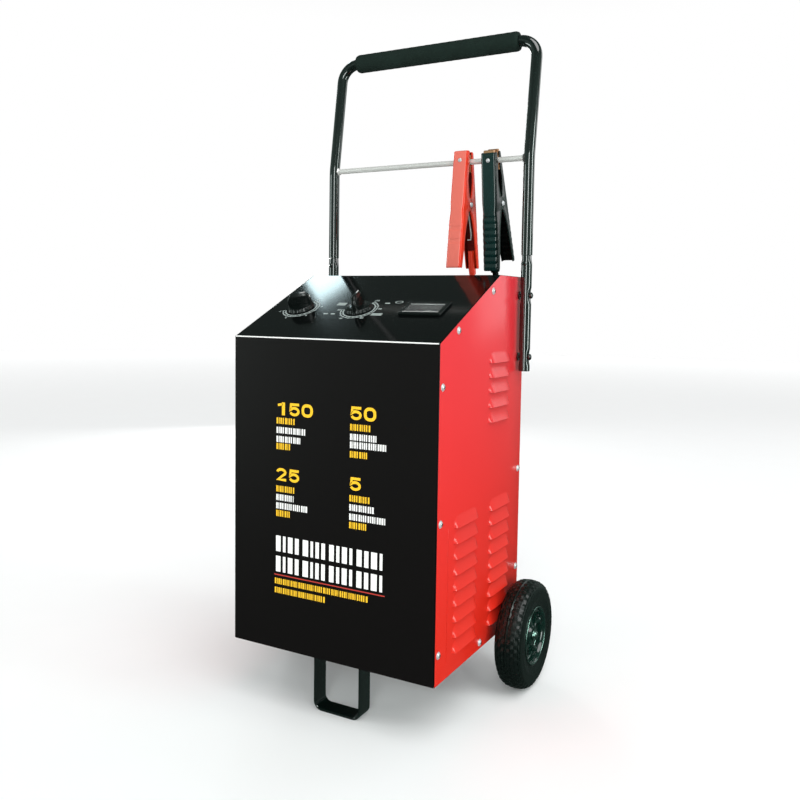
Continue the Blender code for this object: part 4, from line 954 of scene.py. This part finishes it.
# a copper jaw: rounded nose, teeth, and a hollow that seats on the rod
def makeJaw(colour, side):
    inner = [(0.0046, -0.014)]
    for i in range(4):
        z = -0.0125 + i * 0.002
        inner += [(0.0046, z), (0.0056, z + 0.001)]
    inner.append((0.0047, -0.0045))
    inner += [(sqrt(0.00445**2 - z**2) + 0.0001, z) for z in (-0.003, -0.0015, 0.0, 0.0015, 0.003)]  # the seat on the rod
    for i in range(4):
        z = 0.005 + i * 0.002
        inner += [(0.0048, z), (0.0058, z + 0.001)]
    back = 0.014 - 0.0019
    nose = [(0.005, 0.0142), (0.0066, 0.0152), (0.0088, 0.0153), (0.0106, 0.0146), (back - 0.0005, 0.0125)]
    if colour == "red":
        inner, nose = inner[:-2], [(0.005, 0.0112), (back - 0.0005, 0.0118)]
    outline = inner + nose + [(back + 0.02 * clamps["spread"], -0.008), (back + 0.0255 * clamps["spread"], -0.014)]
    bm = bmesh.new()
    half = 0.0077
    extruded(bm, [(-half, y * side, z) for y, z in outline], (2 * half, 0, 0))
    bmesh.ops.transform(bm, matrix=clampSpot(colour), verts=bm.verts)
    word = "front" if side < 0 else "rear"
    piece(f"{colour}Jaw{word.title()}", bm, copper, body=clampBody(colour, side), smooth=30, bevel=0.0003,
          gone=[f"{colour}_clamp_{word}_jaw"])


# rivets on the faces
def clampTrim(colour):
    for side in (-1, 1):
        bm = bmesh.new()
        z = 0.0015
        out = 0.014 + (0.012 - z) * clamps["spread"]
        spot = clampSpot(colour) @ facing((0, side * (out + 0.0002), z), (0, side, 0.15))
        turn(bm, [(0, 0.0015), (0.0013, 0.0014), (0.0025, 0.0009), (0.003, 0.0002), (0.003, -0.0004), (0, -0.0004)], spot, 28)
        piece(f"{colour}Rivet{'Front' if side < 0 else 'Rear'}", bm, zinc, body=clampBody(colour, side), smooth=40)


# a moulded sleeve round the lead where it leaves the clamp
def clampBoot(colour, diameter, length):
    points = leadPoints(colour)[::-1]
    path, run = [points[0]], 0.0
    for before, after in zip(points, points[1:]):
        run += (after - before).length
        if run > length:
            path.append(after + (before - after).normalized() * (run - length))
            break
        path.append(after)
    tube(colour + "Boot", path, diameter, vinyls[colour], sides=6)


for colour in ("red", "black"):
    for side in (-1, 1):
        makeClampHalf(colour, side)
        makeJaw(colour, side)
    clampTrim(colour)
    clampBoot(colour, 0.0108 if colour == "red" else 0.0135, 0.036)
print("clamps finished")


# a smooth step of value from one level to another
def fade(tree, value, start, end, first, last):
    step = {"Value": value, "From Min": start, "From Max": end, "To Min": first, "To Max": last}
    return addNode(tree, "MapRange", step, interpolation_type="SMOOTHSTEP").outputs[0]


# name: place, watts, width, height and tint
lamps = {
    "stripRight": ((2.45, 0.2, 0.75), 24, 0.45, 1.7, (0.9, 1, 0.97)),
    "stripFront": ((0.88, -2.15, 0.9), 18, 0.45, 1.6, (0.93, 1, 0.98)),
    "stripLeft": ((-2.1, -1.2, 0.6), 10, 0.5, 1.2, (0.88, 1, 0.97)),
    "stripBack": ((-1.6, 1.9, 0.9), 10, 0.4, 1.2, (1, 1, 1)),
    "corner": ((-1.545, 1.4, 2.17), 1.0, 0.17, 0.17, (0.74, 0.95, 1)),  # the glow on the slope's left end
    "lowBack": ((1.6, 2.75, 1.75), 7.8, 1.2, 1.75, (1, 0.95, 0.98)),  # the sheen on the louvres
}


def addLamp(name, kind, energy, aim):
    data = bpy.data.lights.new(name, kind)
    data.energy = energy
    lamp = bpy.data.objects.new(name, data)
    lamp.rotation_mode = "QUATERNION"
    lamp.rotation_quaternion = aim.to_track_quat("-Z", "Y")
    bpy.context.scene.collection.objects.link(lamp)
    return lamp, data


def makeStage():
    bm = bmesh.new()
    bmesh.ops.create_grid(bm, x_segments=1, y_segments=1, size=9)
    floorMat = surface("paleFloor", "F4F5F5", 0.9, tone=0.01, grain=5, bump=0.001, shine=0.1)
    floor = meshObject("floor", bm, [floorMat])

    # a white tent round the floor, kept out of the reflections
    bm = bmesh.new()
    bmesh.ops.create_uvsphere(bm, u_segments=48, v_segments=24, radius=8.5)
    tentMat = bpy.data.materials.new("whiteTent")
    tentMat.use_nodes = True
    tree = tentMat.node_tree
    shader = tree.nodes["Principled BSDF"]
    height = addNode(tree, "SeparateXYZ", {0: addNode(tree, "TexCoord").outputs["Object"]}).outputs["Z"]
    tree.links.new(fade(tree, height, 3.4, 6.0, 1.0, 0.35), shader.inputs["Emission Strength"])
    shader.inputs["Base Color"].default_value = (0, 0, 0, 1)
    shader.inputs["Emission Color"].default_value = (1, 1, 1, 1)
    shader.inputs["Specular IOR Level"].default_value = 0
    tent = meshObject("tent", bm, [tentMat])
    tent.visible_glossy = tent.visible_shadow = floor.visible_glossy = False

    # what the glossy surfaces see: a dark room, a little lighter at eye height
    world = bpy.data.worlds.new("studio")
    bpy.context.scene.world = world
    world.use_nodes = True
    tree = world.node_tree
    rise = addNode(tree, "SeparateXYZ", {0: addNode(tree, "TexCoord").outputs["Generated"]}).outputs["Z"]
    sky = addNode(tree, "Math", {0: fade(tree, rise, -0.3, 0.1, 0.06, 0.26), 1: fade(tree, rise, 0.3, 0.6, 1.0, 0.4)},
                  operation="MULTIPLY")
    tree.links.new(sky.outputs[0], tree.nodes["Background"].inputs["Strength"])
    tree.nodes["Background"].inputs["Color"].default_value = (0.78, 1, 0.92, 1)
    for name, (spot, power, wide, tall, tint) in lamps.items():
        lamp, data = addLamp(name, "AREA", power, Vector((0, 0, 0.5)) - Vector(spot))
        data.shape, data.size, data.size_y, data.color = "RECTANGLE", wide, tall, tint
        lamp.location = spot
        lamp.visible_camera = False
    addLamp("overhead", "SUN", 1.45, Vector((-0.4, 0.28, -0.87)))[1].angle = radians(45)
    bpy.context.scene.view_settings.view_transform = "Standard"


makeStage()
print("stage set")
